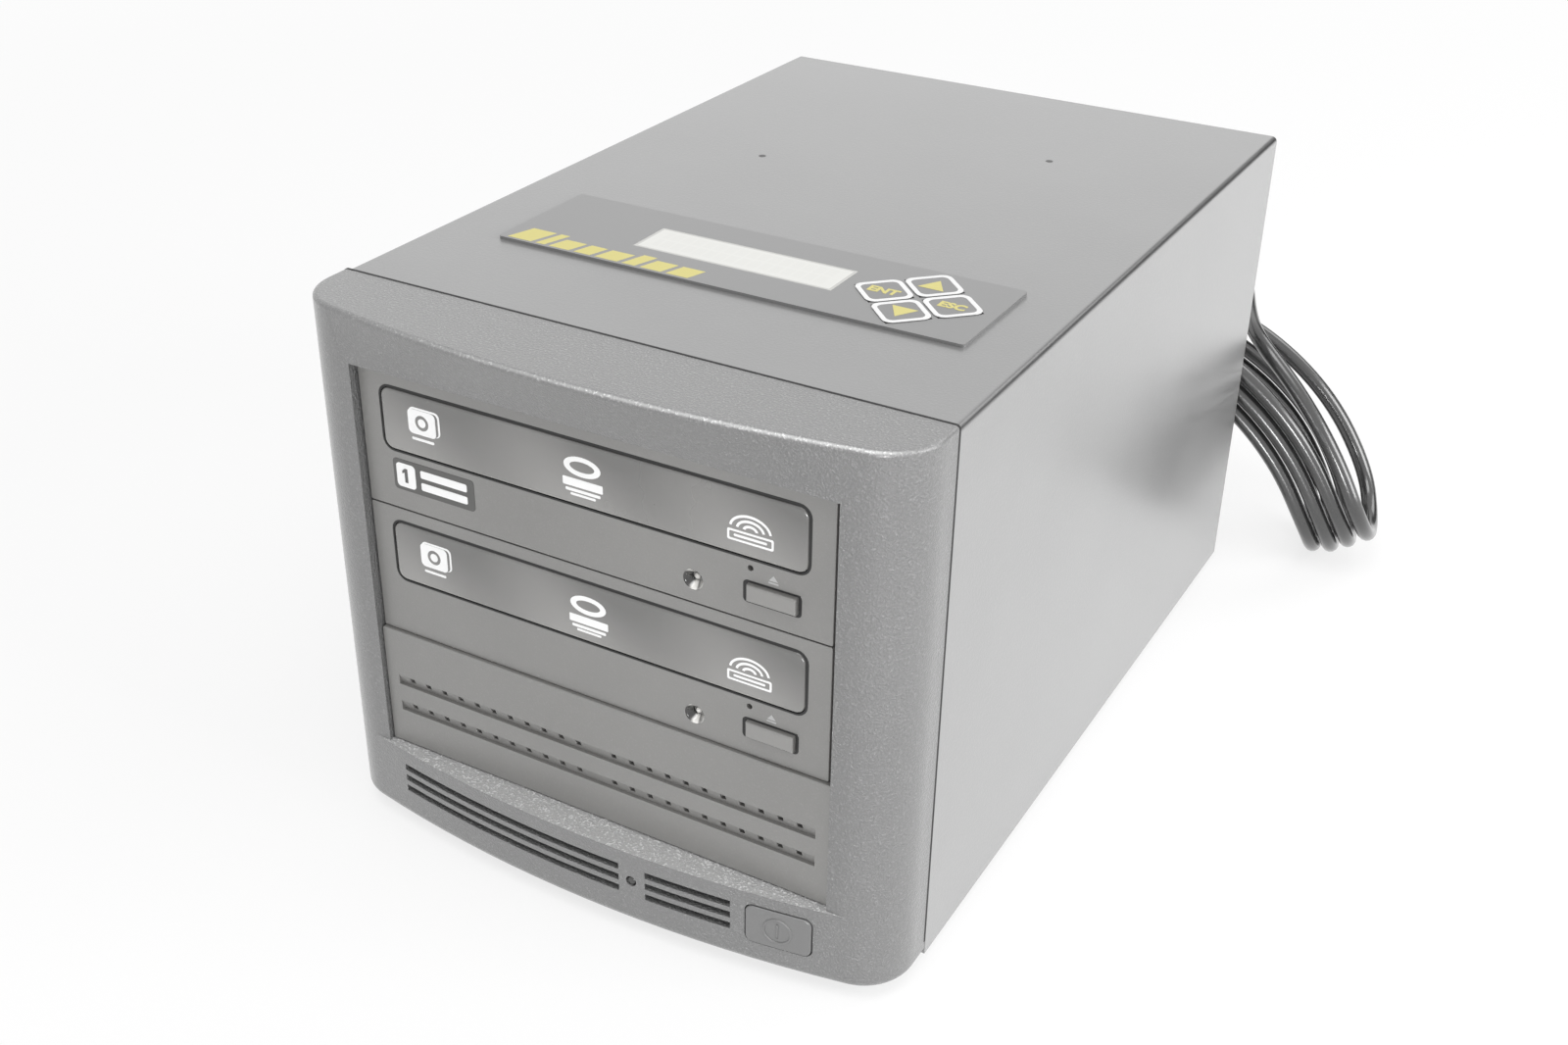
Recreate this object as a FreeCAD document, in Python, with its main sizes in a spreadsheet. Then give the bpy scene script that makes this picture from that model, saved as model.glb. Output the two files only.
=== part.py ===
import FreeCAD, Part
import math
import os

import Sketcher

Vector = FreeCAD.Vector

# A disc duplicator tower: two half-height optical drives and a blank panel behind a bulged front bezel,
# under a one-piece sheet-metal cover with a display and four keys in its top.
# Millimetres. X is to the viewer's right, Y goes back, Z is up.
# The origin is on the surface that the feet stand on, under the middle of the tower without its cord.


# Driving sizes

SIZES = [
    ("case_width", 190.0, "outside width of the cover"),
    ("rear_room", 9.4, "cover's length past the lengths of a drive and the power supply"),
    ("foot_height", 4.0, "rubber feet under the base"),
    ("foot_radius", 8.0, "rubber feet, at the base"),
    ("foot_taper", 1.0, "rubber feet, narrower at the floor"),
    ("foot_inset", 22.0, "feet, from the sides and ends of the base"),
    ("foot_screw_bore", 2.0, "feet, radius of the screw well"),
    ("foot_screw_depth", 2.4, "feet, depth of the screw well"),
    ("steel", 1.0, "sheet of the cover and the chassis"),
    ("bend_radius", 2.0, "outside radius of the cover's bends"),
    ("cover_flange", 8.0, "cover's folded rear rim"),
    ("rim_screw_low", 30.0, "lower rim screws above the base"),
    ("rim_screw_drop", 31.2, "cover's top to the upper rim screws"),
    ("rim_screw_x", 40.0, "top rim screws from the middle"),
    ("base_edge", 12.0, "raised edges of the base"),
    ("fit", 0.3, "clearance between neighbours that don't move"),
    ("slide_fit", 0.3, "clearance round pieces that slide"),
    ("shaft_fit", 0.05, "radial clearance of a shaft in its bore"),
    ("overrun", 5.0, "how far a cut runs past the metal"),
    ("bezel_depth", 31.0, "bezel, from its crown to the cover"),
    ("bezel_corner", 16.0, "plan radius of the bezel's upright corners"),
    ("bezel_bulge", 430.0, "plan radius of the bulged front"),
    ("bezel_lip", 0.5, "bezel above the cover"),
    ("bezel_wall", 2.5, "moulded wall of the bezel"),
    ("bezel_top_round", 1.3, "bezel's upper front edge"),
    ("bezel_foot_round", 3.0, "bezel's lower edge"),
    ("bezel_gap", 0.3, "seam between bezel and cover"),
    ("collar_depth", 12.0, "walls of the opening behind the frame"),
    ("face_setback", 10.4, "crown to the faces of the drives"),
    ("brow_height", 15.3, "cover's top to the upper edge of the bays"),
    ("column", 19.5, "case's sides to the bays"),
    ("ledge_height", 25.1, "base to the lower edge of the bays"),
    ("bay_trim", 1.1, "opening, less than three bays"),
    ("bay_pitch", 42.3, "from one bay to the next"),
    ("bay_edge_round", 0.5, "edge of the opening"),
    ("slot_height", 2.2, "rail vents"),
    ("slot_pitch", 3.9, "rail vents"),
    ("slot_drop", 5.0, "ledge to the first rail vent"),
    ("left_slots_inset", 26.5, "left vents, from the case's side"),
    ("left_slots_end", 12.8, "left vents, x of the right end"),
    ("right_slots_start", 21.4, "right vents, x of the left end"),
    ("slots_to_button", 14.3, "right vents to the power button's middle"),
    ("light_x", 16.9, "power light"),
    ("light_drop", 9.9, "ledge to the power light"),
    ("light_radius", 1.4, "power light"),
    ("light_length", 14.0, "power light pipe"),
    ("light_sag", 0.5, "power light's tip behind the crown"),
    ("light_boss", 1.4, "boss round the light pipe"),
    ("light_boss_length", 8.0, "boss round the light pipe"),
    ("button_inset", 32.5, "case's side to the power button's middle"),
    ("button_width", 19.2, "power button"),
    ("button_height", 12.8, "power button"),
    ("button_drop", 4.2, "ledge to the power button"),
    ("button_proud", 0.5, "power button, proud of the rail"),
    ("button_depth", 5.0, "power button cap, front to back"),
    ("button_corner", 2.2, "power button's corners"),
    ("button_travel", 2.0, "power button, pressed in"),
    ("button_gap", 0.35, "gap round the power button"),
    ("button_sag", 4.6, "crown to the rail beside the button"),
    ("button_edge", 0.5, "power button's front edge"),
    ("button_flange", 1.0, "power button's flange"),
    ("stem_radius", 2.5, "power button's stem"),
    ("stem_grip", 3.0, "stem inside the switch"),
    ("switch_width", 14.0, "power switch body"),
    ("switch_depth", 13.0, "power switch body"),
    ("switch_reach", 12.0, "switch in front of the front plate"),
    ("switch_lip", 2.0, "switch's flange"),
    ("clip_width", 12.0, "bezel's snap clips"),
    ("clip_reach", 9.0, "bezel's snap clips, behind the seam"),
    ("clip_thickness", 1.8, "bezel's snap clips"),
    ("clip_inset", 8.5, "bezel's side wall to its clips"),
    ("clip_hook", 1.2, "hooks of the clips"),
    ("clip_hook_length", 3.0, "hooks of the clips"),
    ("clip_low", 36.0, "lower clips, above the base"),
    ("clip_drop", 28.2, "cover's top to the upper clips"),
    ("panel_proud", 1.2, "blank panel, proud of the drives"),
    ("panel_thickness", 3.0, "blank panel"),
    ("panel_rim", 7.0, "blank panel's rim behind its face"),
    ("panel_side_gap", 0.2, "blank panel to the sides of the opening"),
    ("panel_seam", 0.1, "blank panel to the drive above it"),
    ("panel_corner_round", 0.8, "blank panel's corners"),
    ("panel_edge", 0.4, "blank panel's front edge"),
    ("groove_inset", 4.8, "sides of the bays to the grooves"),
    ("groove_height", 3.4, "grooves of the blank panel"),
    ("groove_depth", 1.2, "grooves of the blank panel"),
    ("groove_drop", 15.6, "panel's top to the first groove"),
    ("groove_pitch", 9.3, "from one groove to the next"),
    ("hole_side", 1.7, "square holes"),
    ("hole_end", 4.9, "groove's end to the last square hole"),
    ("hole_start", 6.0, "centre line to the nearest square hole"),
    ("hole_drop", 1.1, "groove's top to the middle of its holes"),
    ("panel_x", 1.73, "display panel's middle, from the case's"),
    ("panel_width", 149.8, "display panel"),
    ("panel_length", 42.3, "display panel, front to back"),
    ("panel_setback", 72.6, "crown to the display panel's front edge"),
    ("film", 1.0, "thickness of the display panel"),
    ("panel_corner", 1.2, "display panel's corners"),
    ("window_x", -2.7, "display window's middle"),
    ("window_setback", 94.9, "crown to the display window's middle"),
    ("window_width", 65.2, "display window"),
    ("window_length", 16.4, "display window, front to back"),
    ("window_seat", 1.5, "how far the cover reaches under the window"),
    ("module_width", 74.0, "display module's board"),
    ("module_length", 44.0, "display module's board"),
    ("module_bezel_width", 71.0, "display's metal frame"),
    ("module_bezel_length", 24.0, "display's metal frame"),
    ("module_bezel_height", 6.6, "display's metal frame"),
    ("display_gap", 0.6, "cover to the display"),
    ("board", 1.6, "printed board"),
    ("keys_x", 53.0, "middle of the four keys"),
    ("keys_setback", 94.0, "crown to the middle of the four keys"),
    ("key_reach", 10.4, "middle of the keys to each key"),
    ("key_side", 12.6, "key, a square on its corner"),
    ("key_corner", 2.4, "key's corners"),
    ("key_gap", 0.3, "gap round a key"),
    ("key_proud", 0.2, "key above the display panel"),
    ("key_edge", 0.5, "key's upper edge"),
    ("key_flange", 0.6, "key's flange under the cover"),
    ("key_skirt", 2.6, "key's skirt below the cover's top"),
    ("key_travel", 0.4, "key, pressed down"),
    ("key_stem_radius", 2.0, "key's stem"),
    ("key_stem_length", 2.0, "key's stem"),
    ("tact_side", 6.0, "key switch"),
    ("tact_height", 3.4, "key switch"),
    ("tact_gap", 0.45, "key's stem to its switch"),
    ("keyboard_side", 34.0, "keypad board"),
    ("drive_x", -0.8, "drives, sideways from the case's middle"),
    ("drive_drop", 0.9, "opening's top to the first drive"),
    ("face_gap", 1.25, "sides of the bays to the faceplates"),
    ("face_seam", 0.4, "from one faceplate to the next"),
    ("face_thickness", 4.0, "drive faceplate"),
    ("face_corner", 0.6, "faceplate's corners"),
    ("face_edge", 0.3, "faceplate's front edge"),
    ("shell_inset", 1.25, "faceplate's ends to the metal shell"),
    ("shell_slack", 1.0, "metal shell, lower than its faceplate"),
    ("shell_length", 166.0, "drive's metal shell"),
    ("shell_sheet", 0.8, "drive's sheet"),
    ("door_inset", 7.5, "faceplate's ends to the tray front"),
    ("door_height", 18.7, "tray front"),
    ("door_drop", 4.6, "drive's top to the tray front"),
    ("door_thickness", 2.5, "tray front"),
    ("door_proud", 0.3, "tray front, proud of the faceplate"),
    ("door_corner", 3.0, "tray front's corners"),
    ("door_edge", 0.8, "tray front's rounded edge"),
    ("door_gap", 0.65, "gap round the tray front"),
    ("eject_inset", 17.25, "faceplate's end to the eject button's middle"),
    ("eject_drop", 33.05, "drive's top to the eject button's middle"),
    ("eject_width", 14.4, "eject button"),
    ("eject_height", 4.9, "eject button"),
    ("eject_gap", 0.6, "gap round the eject button"),
    ("eject_proud", 1.6, "eject button, proud of the faceplate"),
    ("eject_length", 9.0, "eject button, front to back"),
    ("eject_round", 0.6, "eject button's edges"),
    ("eject_travel", 1.3, "eject button, pressed in"),
    ("eject_flange", 1.0, "eject button's flange"),
    ("eject_stem_radius", 1.0, "eject button's stem"),
    ("eject_stem_length", 2.0, "eject button's stem"),
    ("lamp_inset", 41.05, "faceplate's end to the activity light"),
    ("lamp_drop", 35.1, "drive's top to the activity light"),
    ("lamp_well", 3.1, "radius of the light's conical well"),
    ("lamp_well_depth", 2.6, "depth of the light's conical well"),
    ("lamp_radius", 1.0, "activity light's lens"),
    ("lamp_length", 7.0, "activity light's pipe"),
    ("pin_inset", 23.95, "faceplate's end to the emergency release hole"),
    ("pin_drop", 26.3, "drive's top to the release hole"),
    ("pin_radius", 0.85, "release hole"),
    ("tray_inset", 8.5, "metal shell's sides to the disc tray"),
    ("tray_length", 143.0, "disc tray, behind its front"),
    ("tray_thickness", 6.0, "disc tray"),
    ("tray_drop", 9.0, "drive's top to the tray's top"),
    ("tray_travel", 128.0, "tray, slid out"),
    ("tray_corner", 6.0, "tray's rear corners"),
    ("disc_rim", 4.0, "tray's sides to the well for a disc"),
    ("disc_depth", 2.6, "well for a disc"),
    ("small_disc_radius", 40.5, "inner well for a small disc"),
    ("small_disc_depth", 1.2, "inner well, below the well"),
    ("disc_setback", 72.0, "drive's face to the disc's middle"),
    ("slot_half", 17.0, "half width of the tray's slot"),
    ("slot_front", 19.0, "disc's middle to the slot's front end"),
    ("slot_back", 55.0, "disc's middle to the slot's rear end"),
    ("slot_corner", 4.0, "corners of the tray's slot"),
    ("rack_inset", 8.5, "tray's side to the rack's pitch line"),
    ("rack_depth", 4.0, "rack below the tray"),
    ("rack_web", 2.2, "rack behind its teeth"),
    ("gear_module", 1.0, "module of rack and pinion"),
    ("backlash", 0.4, "backlash of rack and pinion"),
    ("gear_setback", 15.0, "drive's face to the pinion's axle"),
    ("gear_axle", 1.5, "pinion's axle, radius"),
    ("gear_bore_boss", 4.0, "boss under the pinion"),
    ("deck_front", 9.0, "drive's face to the loading deck"),
    ("deck_length", 142.0, "loading deck"),
    ("deck_drop", 29.0, "drive's top to the deck's floor"),
    ("deck_sheet", 2.0, "loading deck's walls"),
    ("deck_wall_gap", 0.5, "tray to the deck's side walls"),
    ("rail_width", 2.6, "deck's rails under the tray"),
    ("rail_height", 2.0, "deck's rails under the tray"),
    ("tab_length", 26.0, "deck's guides over the tray"),
    ("tab_thickness", 1.2, "deck's guides over the tray"),
    ("deck_foot_side", 12.0, "feet of the deck"),
    ("pit_half", 16.0, "half width of the deck's pit"),
    ("motor_radius", 9.0, "spindle motor boss"),
    ("motor_top_drop", 20.5, "drive's top to the motor boss"),
    ("spindle_radius", 1.05, "spindle shaft"),
    ("spindle_length", 7.0, "spindle shaft in the boss"),
    ("table_radius", 14.5, "turntable"),
    ("table_thickness", 2.0, "turntable"),
    ("table_drop", 16.9, "drive's top to the turntable's face"),
    ("hub_radius", 7.4, "turntable's hub"),
    ("hub_height", 1.3, "turntable's hub"),
    ("rod_x", 22.0, "guide rods, from the drive's middle"),
    ("rod_radius", 1.5, "guide rods"),
    ("rod_drop", 24.0, "drive's top to the guide rods"),
    ("post_side", 7.0, "rod posts"),
    ("post_depth", 4.0, "rod posts, front to back"),
    ("front_post", 88.0, "drive's face to the front rod posts"),
    ("rear_post", 142.0, "drive's face to the rear rod posts"),
    ("sled_length", 18.0, "laser sled"),
    ("sled_height", 6.0, "laser sled"),
    ("sled_travel", 26.0, "laser sled"),
    ("sled_gap", 1.0, "front posts to the sled"),
    ("lens_radius", 3.0, "laser lens"),
    ("lens_height", 1.6, "laser lens"),
    ("clamp_width", 40.0, "clamp bridge, front to back"),
    ("clamp_thickness", 1.0, "clamp bridge"),
    ("puck_radius", 15.0, "clamp puck"),
    ("puck_height", 1.6, "clamp puck"),
    ("drive_board_width", 90.0, "drive's circuit board"),
    ("drive_board_length", 55.0, "drive's circuit board"),
    ("drive_board_rise", 2.0, "circuit board above the shell's floor"),
    ("socket_height", 5.0, "drive's sockets"),
    ("data_x", -20.0, "data socket from the drive's middle"),
    ("power_x", 6.0, "power socket from the drive's middle"),
    ("data_spread", 12.0, "data sockets of the controller, to each side"),
    ("bracket_sheet", 1.2, "drive brackets"),
    ("bracket_setback", 38.0, "crown to the drive brackets"),
    ("bracket_length", 140.0, "drive brackets"),
    ("bracket_foot", 14.0, "bracket's foot on the base"),
    ("screw_radius", 1.5, "machine screws"),
    ("screw_head_radius", 3.0, "machine screws"),
    ("screw_head_height", 1.9, "machine screws"),
    ("screw_length", 5.0, "machine screws"),
    ("screw_slot", 0.8, "cross recess of a screw head"),
    ("drive_screw_grip", 4.5, "drive screws"),
    ("fan_screw_length", 12.0, "fan screws"),
    ("drive_screw_front", 52.0, "drive's face to its first screws"),
    ("drive_screw_end", 34.75, "drive's last screws to its rear end"),
    ("drive_screw_rise", 10.0, "drive's bottom to its screws"),
    ("psu_width", 120.0, "power supply"),
    ("psu_height", 60.0, "power supply"),
    ("psu_length", 85.0, "power supply"),
    ("psu_sheet", 0.8, "power supply's sheet"),
    ("psu_gap", 1.5, "cover to the power supply"),
    ("psu_rim", 4.0, "rear panel's rim round the power supply"),
    ("psu_tab", 6.0, "corners left in the rear panel's opening"),
    ("psu_fan_x", -26.0, "power supply's fan"),
    ("psu_fan_side", 50.0, "power supply's fan"),
    ("psu_fan_depth", 15.0, "power supply's fan"),
    ("psu_screw_inset", 5.0, "power supply's screws from its corners"),
    ("psu_board_rise", 8.0, "power supply's board above its floor"),
    ("psu_board_gap", 3.0, "power supply's board to its walls"),
    ("psu_block", 24.0, "largest parts on the board"),
    ("inlet_x", 36.0, "mains inlet"),
    ("inlet_width", 27.0, "mains inlet's cut-out"),
    ("inlet_height", 19.6, "mains inlet's cut-out"),
    ("inlet_flange", 2.0, "mains inlet's rim"),
    ("inlet_depth", 22.0, "mains inlet behind the panel"),
    ("inlet_wall", 1.2, "mains inlet's wall"),
    ("inlet_well", 16.0, "mains inlet's well"),
    ("blade_width", 4.0, "inlet's blades"),
    ("blade_thickness", 2.0, "inlet's blades"),
    ("blade_length", 12.0, "inlet's blades"),
    ("blade_pitch", 7.0, "inlet's blades"),
    ("blade_lift", 2.0, "inlet's blades above and below its middle"),
    ("fan_clearance", 17.0, "case's side to the rear fan"),
    ("fan_z", 56.0, "rear fan's axis above the base"),
    ("fan_side", 80.0, "rear fan"),
    ("fan_depth", 25.0, "rear fan"),
    ("fan_corner", 4.0, "fan frame's corners"),
    ("fan_hole", 35.8, "rear fan's screws from its middle"),
    ("psu_fan_hole", 20.0, "power supply fan's screws from its middle"),
    ("fan_hole_radius", 2.2, "fan's mounting holes"),
    ("fan_spoke", 3.0, "fan frame's spokes"),
    ("fan_plate", 3.0, "fan's spoke plate"),
    ("fan_tip_gap", 1.0, "blades to the bore"),
    ("fan_blade", 1.2, "thickness of the blades"),
    ("wire_radius", 0.8, "fan guard's wire"),
    ("wire_bite", 0.3, "overlap of welded wires"),
    ("guard_ear", 2.6, "guard's eyes, from the panel to the screw heads"),
    ("guard_eye", 3.3, "guard's eyes round its screws"),
    ("front_plate_gap", 0.8, "cover's front edge to the front plate"),
    ("front_frame", 2.0, "front plate round the drives"),
    ("vent_count_pitch", 6.5, "rear panel's slots"),
    ("vent_slot_height", 2.6, "rear panel's slots"),
    ("vent_slot_width", 46.0, "rear panel's slots"),
    ("vent_x", 46.0, "rear panel's slots"),
    ("vent_low", 20.0, "lowest rear slot above the base"),
    ("controller_inset", 17.0, "drive shells' sides to the controller board"),
    ("controller_length", 92.0, "controller board"),
    ("controller_setback", 60.0, "crown to the controller board"),
    ("standoff_height", 8.0, "standoffs"),
    ("standoff_radius", 3.0, "standoffs"),
    ("standoff_inset", 6.0, "standoffs from the board's corners"),
    ("chip_side", 22.0, "controller's main chip"),
    ("chip_height", 2.0, "controller's main chip"),
    ("heat_sink_pitch", 4.0, "heat sink's fins"),
    ("heat_sink_fin", 1.0, "heat sink's fins"),
    ("heat_sink_height", 6.0, "heat sink's fins"),
    ("capacitor_radius", 4.0, "controller's capacitors"),
    ("capacitor_height", 11.0, "controller's capacitors"),
    ("cord_radius", 3.0, "mains cord"),
    ("arch_x", 31.7, "middle of the hank's arch"),
    ("arch_depth", 21.0, "middle of the hank's arch, below the floor"),
    ("arch_radius", 103.4, "innermost front run of the hank"),
    ("loop_pitch", 6.9, "from one loop of the hank to the next"),
    ("first_fold_radius", 25.0, "low fold of the first loop"),
    ("fold_radius", 23.5, "other folds of the hank"),
    ("first_lean", 10.0, "first back run, inside its front run"),
    ("lean", 12.0, "other back runs, inside their front runs"),
    ("lead_sway", 14.0, "top of the first front run, away from the tower"),
    ("floor_lift", 0.8, "hank's lowest bends, for the tilt of their folds"),
    ("hank_gap", 4.0, "tower's back to the front runs"),
    ("grip_width", 25.0, "cord connector's grip"),
    ("grip_height", 17.6, "cord connector's grip"),
    ("grip_length", 22.0, "cord connector's grip"),
    ("grip_round", 3.0, "cord connector's edges"),
    ("relief_length", 24.2, "strain relief"),
    ("relief_wall", 0.8, "strain relief round the cord"),
    ("relief_radius", 5.6, "strain relief at its thick end"),
    ("plug_width", 25.0, "mains plug"),
    ("plug_height", 24.0, "mains plug"),
    ("plug_length", 26.0, "mains plug"),
    ("plug_neck", 12.0, "mains plug's narrow end"),
    ("plug_blade_length", 18.0, "plug's blades"),
    ("plug_blade_width", 6.4, "plug's blades"),
    ("plug_blade_thickness", 1.5, "plug's blades"),
    ("plug_blade_pitch", 12.7, "plug's blades"),
    ("plug_blade_rise", 3.0, "plug's blades above its middle"),
    ("plug_pin_radius", 2.4, "plug's earth pin"),
    ("plug_pin_drop", 8.0, "plug's earth pin, below the blades"),
    ("lead_radius", 1.6, "power leads inside"),
    ("data_radius", 1.8, "data cables inside"),
    ("data_plug_width", 11.0, "data plugs"),
    ("data_plug_height", 5.0, "data plugs"),
    ("data_plug_length", 9.0, "data plugs"),
    ("cable_run", 6.0, "cables, straight out of their plugs"),
    ("cable_bow", 20.0, "data cables, how far they swing back"),
    ("lead_bow", 17.0, "power leads, how far they swing back"),
    ("lead_x", 38.0, "power leads where they leave the power supply"),
    ("lead_pitch", 7.0, "from one power lead to the next"),
    ("lead_rise", 4.0, "first power lead above the power supply's middle"),
]


# Sizes with formulas

class Length:
    """A size that knows its number and its formula in the sheet's cells."""

    def __init__(self, number, formula):
        self.number = float(number)
        self.formula = formula

    def __add__(self, other):
        return joined(self, "+", other, self.number + float(other))

    def __radd__(self, other):
        return joined(other, "+", self, float(other) + self.number)

    def __sub__(self, other):
        return joined(self, "-", other, self.number - float(other))

    def __rsub__(self, other):
        return joined(other, "-", self, float(other) - self.number)

    def __mul__(self, other):
        return joined(self, "*", other, self.number * float(other))

    def __rmul__(self, other):
        return joined(other, "*", self, float(other) * self.number)

    def __truediv__(self, other):
        return joined(self, "/", other, self.number / float(other))

    def __neg__(self):
        return Length(-self.number, f"-{self.formula}")

    def __float__(self):
        return self.number


def formula_of(value):
    return value.formula if isinstance(value, Length) else repr(float(value))


def joined(left, sign, right, number):
    if sign in "+-" and not isinstance(right, Length) and float(right) == 0:
        return left
    return Length(number, f"({formula_of(left)} {sign} {formula_of(right)})")


def bind(thing, prop, value):
    thing.setExpression(prop, formula_of(value))


doc = FreeCAD.newDocument("disc_duplicator")
sheet = doc.addObject("Spreadsheet::Sheet", "sizes")


class Sizes:
    """The sheet's cells as lengths, by their aliases."""


size = Sizes()
for row, (alias, number, words) in enumerate(SIZES, start=1):
    sheet.set(f"A{row}", words)
    sheet.set(f"B{row}", str(number))
    sheet.setAlias(f"B{row}", alias)
    setattr(size, alias, Length(number, f"sizes.{alias}"))


def tied(alias, length, words):
    """A size worked out from others, in a cell of its own below them."""
    row = len(vars(size)) + 1
    sheet.set(f"A{row}", words)
    sheet.set(f"B{row}", "=" + length.formula.replace("sizes.", ""))
    sheet.setAlias(f"B{row}", alias)
    setattr(size, alias, Length(length.number, f"sizes.{alias}"))


def other_leg(longest, leg):
    """The other short side of a right-angled triangle."""
    number = math.sqrt(float(longest) ** 2 - float(leg) ** 2)
    squares = f"{longest.formula} * {longest.formula} - {leg.formula} * {leg.formula}"
    return Length(number, f"sqrt({squares})")


BAYS = 3
HOLES = 11

corner_reach = other_leg(size.bezel_bulge - size.bezel_corner, size.case_width / 2 - size.bezel_corner)
corner_setback = size.bezel_bulge - corner_reach - size.bezel_corner
tied("frame_setback", corner_setback, "crown to the flat frame, whose corners are the rail's own")
tied("bay_width", size.case_width - size.column * 2, "opening of the bays")
tied("bay_height", size.bay_pitch * BAYS - size.bay_trim, "opening of the bays")
tied("case_height", size.brow_height + size.bay_height + size.ledge_height, "cover, from its lower edge to its top")
tied("cover_length", size.shell_length + size.psu_length + size.rear_room, "cover, front to back")
tied("rim_screw_high", size.case_height - size.rim_screw_drop, "upper rim screws above the base")
tied("clip_high", size.case_height - size.clip_drop, "upper clips, above the base")
tied("button_x", size.case_width / 2 - size.button_inset, "power button's middle")
tied("left_slots_start", -(size.case_width / 2 - size.left_slots_inset), "left vents, x of the left end")
tied("right_slots_end", size.button_x - size.slots_to_button, "right vents, x of the right end")
tied("groove_length", size.bay_width - size.groove_inset * 2, "grooves of the blank panel")
hole_span = size.groove_length / 2 - size.hole_start - size.hole_end
tied("hole_pitch", hole_span / (HOLES - 1), "square holes")
tied("face_width", size.bay_width - size.face_gap * 2, "drive faceplate")
tied("face_height", size.bay_pitch - size.face_seam, "drive faceplate")
tied("eject_x", size.face_width / 2 - size.eject_inset, "eject button's middle")
tied("lamp_x", size.face_width / 2 - size.lamp_inset, "activity light")
tied("pin_x", size.face_width / 2 - size.pin_inset, "emergency release hole")
tied("door_width", size.face_width - size.door_inset * 2, "tray front")
tied("shell_width", size.face_width - size.shell_inset * 2, "drive's metal shell")
tied("shell_height", size.face_height - size.shell_slack, "drive's metal shell")
tied("tray_width", size.shell_width - size.tray_inset * 2, "disc tray")
tied("disc_radius", size.tray_width / 2 - size.disc_rim, "well for a disc")
tied("rack_x", -(size.tray_width / 2 - size.rack_inset), "rack's pitch line")
screw_span = size.shell_length - size.drive_screw_front - size.drive_screw_end
tied("drive_screw_pitch", screw_span, "drive's screws, front to back")
tied("fan_x", -(size.case_width / 2 - size.fan_clearance - size.fan_side / 2), "rear fan")
tied("controller_width", size.shell_width - size.controller_inset * 2, "controller board")
doc.recompute()

NODES = []
TOUCH = 0.01


def keep(thing, label):
    """Names a finished sub-part."""
    thing.Label = label
    NODES.append(thing)
    return thing


def put(thing, x=0, y=0, z=0):
    """Moves a sub-part from its own frame to its place in the tower."""
    for axis, value in zip("xyz", (x, y, z)):
        bind(thing, f"Placement.Base.{axis}", value)
    return thing


# Primitives and booleans

def centred(middle, width):
    return middle - width / 2, middle + width / 2


def in_order(one, other):
    return sorted((one, other), key=float)


CORNERS = [(1, 1), (1, -1), (-1, 1), (-1, -1)]


def box(name, x, y, z):
    """A box from its low to its high coordinate on each axis."""
    thing = doc.addObject("Part::Box", name)
    for prop, axis, (low, high) in zip(("Length", "Width", "Height"), "xyz", (x, y, z)):
        bind(thing, prop, high - low)
        bind(thing, f"Placement.Base.{axis}", low)
    return thing


TURNS = {"x": (Vector(0, 1, 0), 90), "y": (Vector(1, 0, 0), -90), "z": (Vector(0, 0, 1), 0)}


def rod(name, radius, at, axis, length, top_radius=None):
    """A cylinder, or with a second radius a cone, that starts at a point and runs along an axis."""
    thing = doc.addObject("Part::Cylinder" if top_radius is None else "Part::Cone", name)
    if top_radius is None:
        bind(thing, "Radius", radius)
    else:
        bind(thing, "Radius1", radius)
        bind(thing, "Radius2", top_radius)
    bind(thing, "Height", length)
    thing.Placement = FreeCAD.Placement(Vector(), FreeCAD.Rotation(*TURNS[axis]))
    return put(thing, *at)


def fused(name, parts):
    if len(parts) == 1:
        return parts[0]
    thing = doc.addObject("Part::MultiFuse", name)
    thing.Shapes = parts
    return thing


def carved(name, solids, cuts=()):
    """Solids joined into one, less the cuts."""
    base = fused(f"{name}_stock", solids)
    if not cuts:
        return base
    thing = doc.addObject("Part::Cut", f"{name}_carved")
    thing.Base = base
    thing.Tool = fused(f"{name}_cuts", cuts)
    return thing


def group(name, parts):
    """Separate solids in one sub-part."""
    thing = doc.addObject("Part::Compound", name)
    thing.Links = parts
    return thing


# Bodies of sketches and features

def new_body(label):
    return keep(doc.addObject("PartDesign::Body", label), label)


def new_sketch(body, name, role="XY_Plane", height=0):
    """A sketch on one of the body's planes: x and y, or x and z on XZ_Plane, whose height points to -y."""
    sketch = body.newObject("Sketcher::SketchObject", f"{body.Name}_{name}")
    plane = next(part for part in body.Origin.OriginFeatures if part.Role == role)
    sketch.AttachmentSupport = [(plane, "")]
    sketch.MapMode = "FlatFace"
    bind(sketch, "AttachmentOffset.Base.z", height)
    return sketch


def constrain(sketch, entries):
    """Adds constraints. An entry whose last item is a length is tied to that length's formula."""
    for entry in entries:
        if not isinstance(entry[-1], Length):
            sketch.addConstraint(Sketcher.Constraint(*entry))
            continue
        number = sketch.addConstraint(Sketcher.Constraint(*entry[:-1], float(entry[-1])))
        bind(sketch, f"Constraints[{number}]", entry[-1])


def at_point(geometry, position, point):
    """Ties a point of the sketch to a place, measured from the sketch's origin."""
    return [
        ("DistanceX", -1, 1, geometry, position, point[0] + 0.0),
        ("DistanceY", -1, 1, geometry, position, point[1] + 0.0),
    ]


def add_polygon(sketch, points):
    """A closed outline of straight lines through the points."""
    first = sketch.GeometryCount
    spots = [Vector(float(x), float(y), 0) for x, y in points]
    for start, end in zip(spots, spots[1:] + spots[:1]):
        sketch.addGeometry(Part.LineSegment(start, end), False)
    count = len(points)
    constrain(sketch, [("Coincident", first + i, 2, first + (i + 1) % count, 1) for i in range(count)])
    for i, point in enumerate(points):
        constrain(sketch, at_point(first + i, 1, point))


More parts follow.
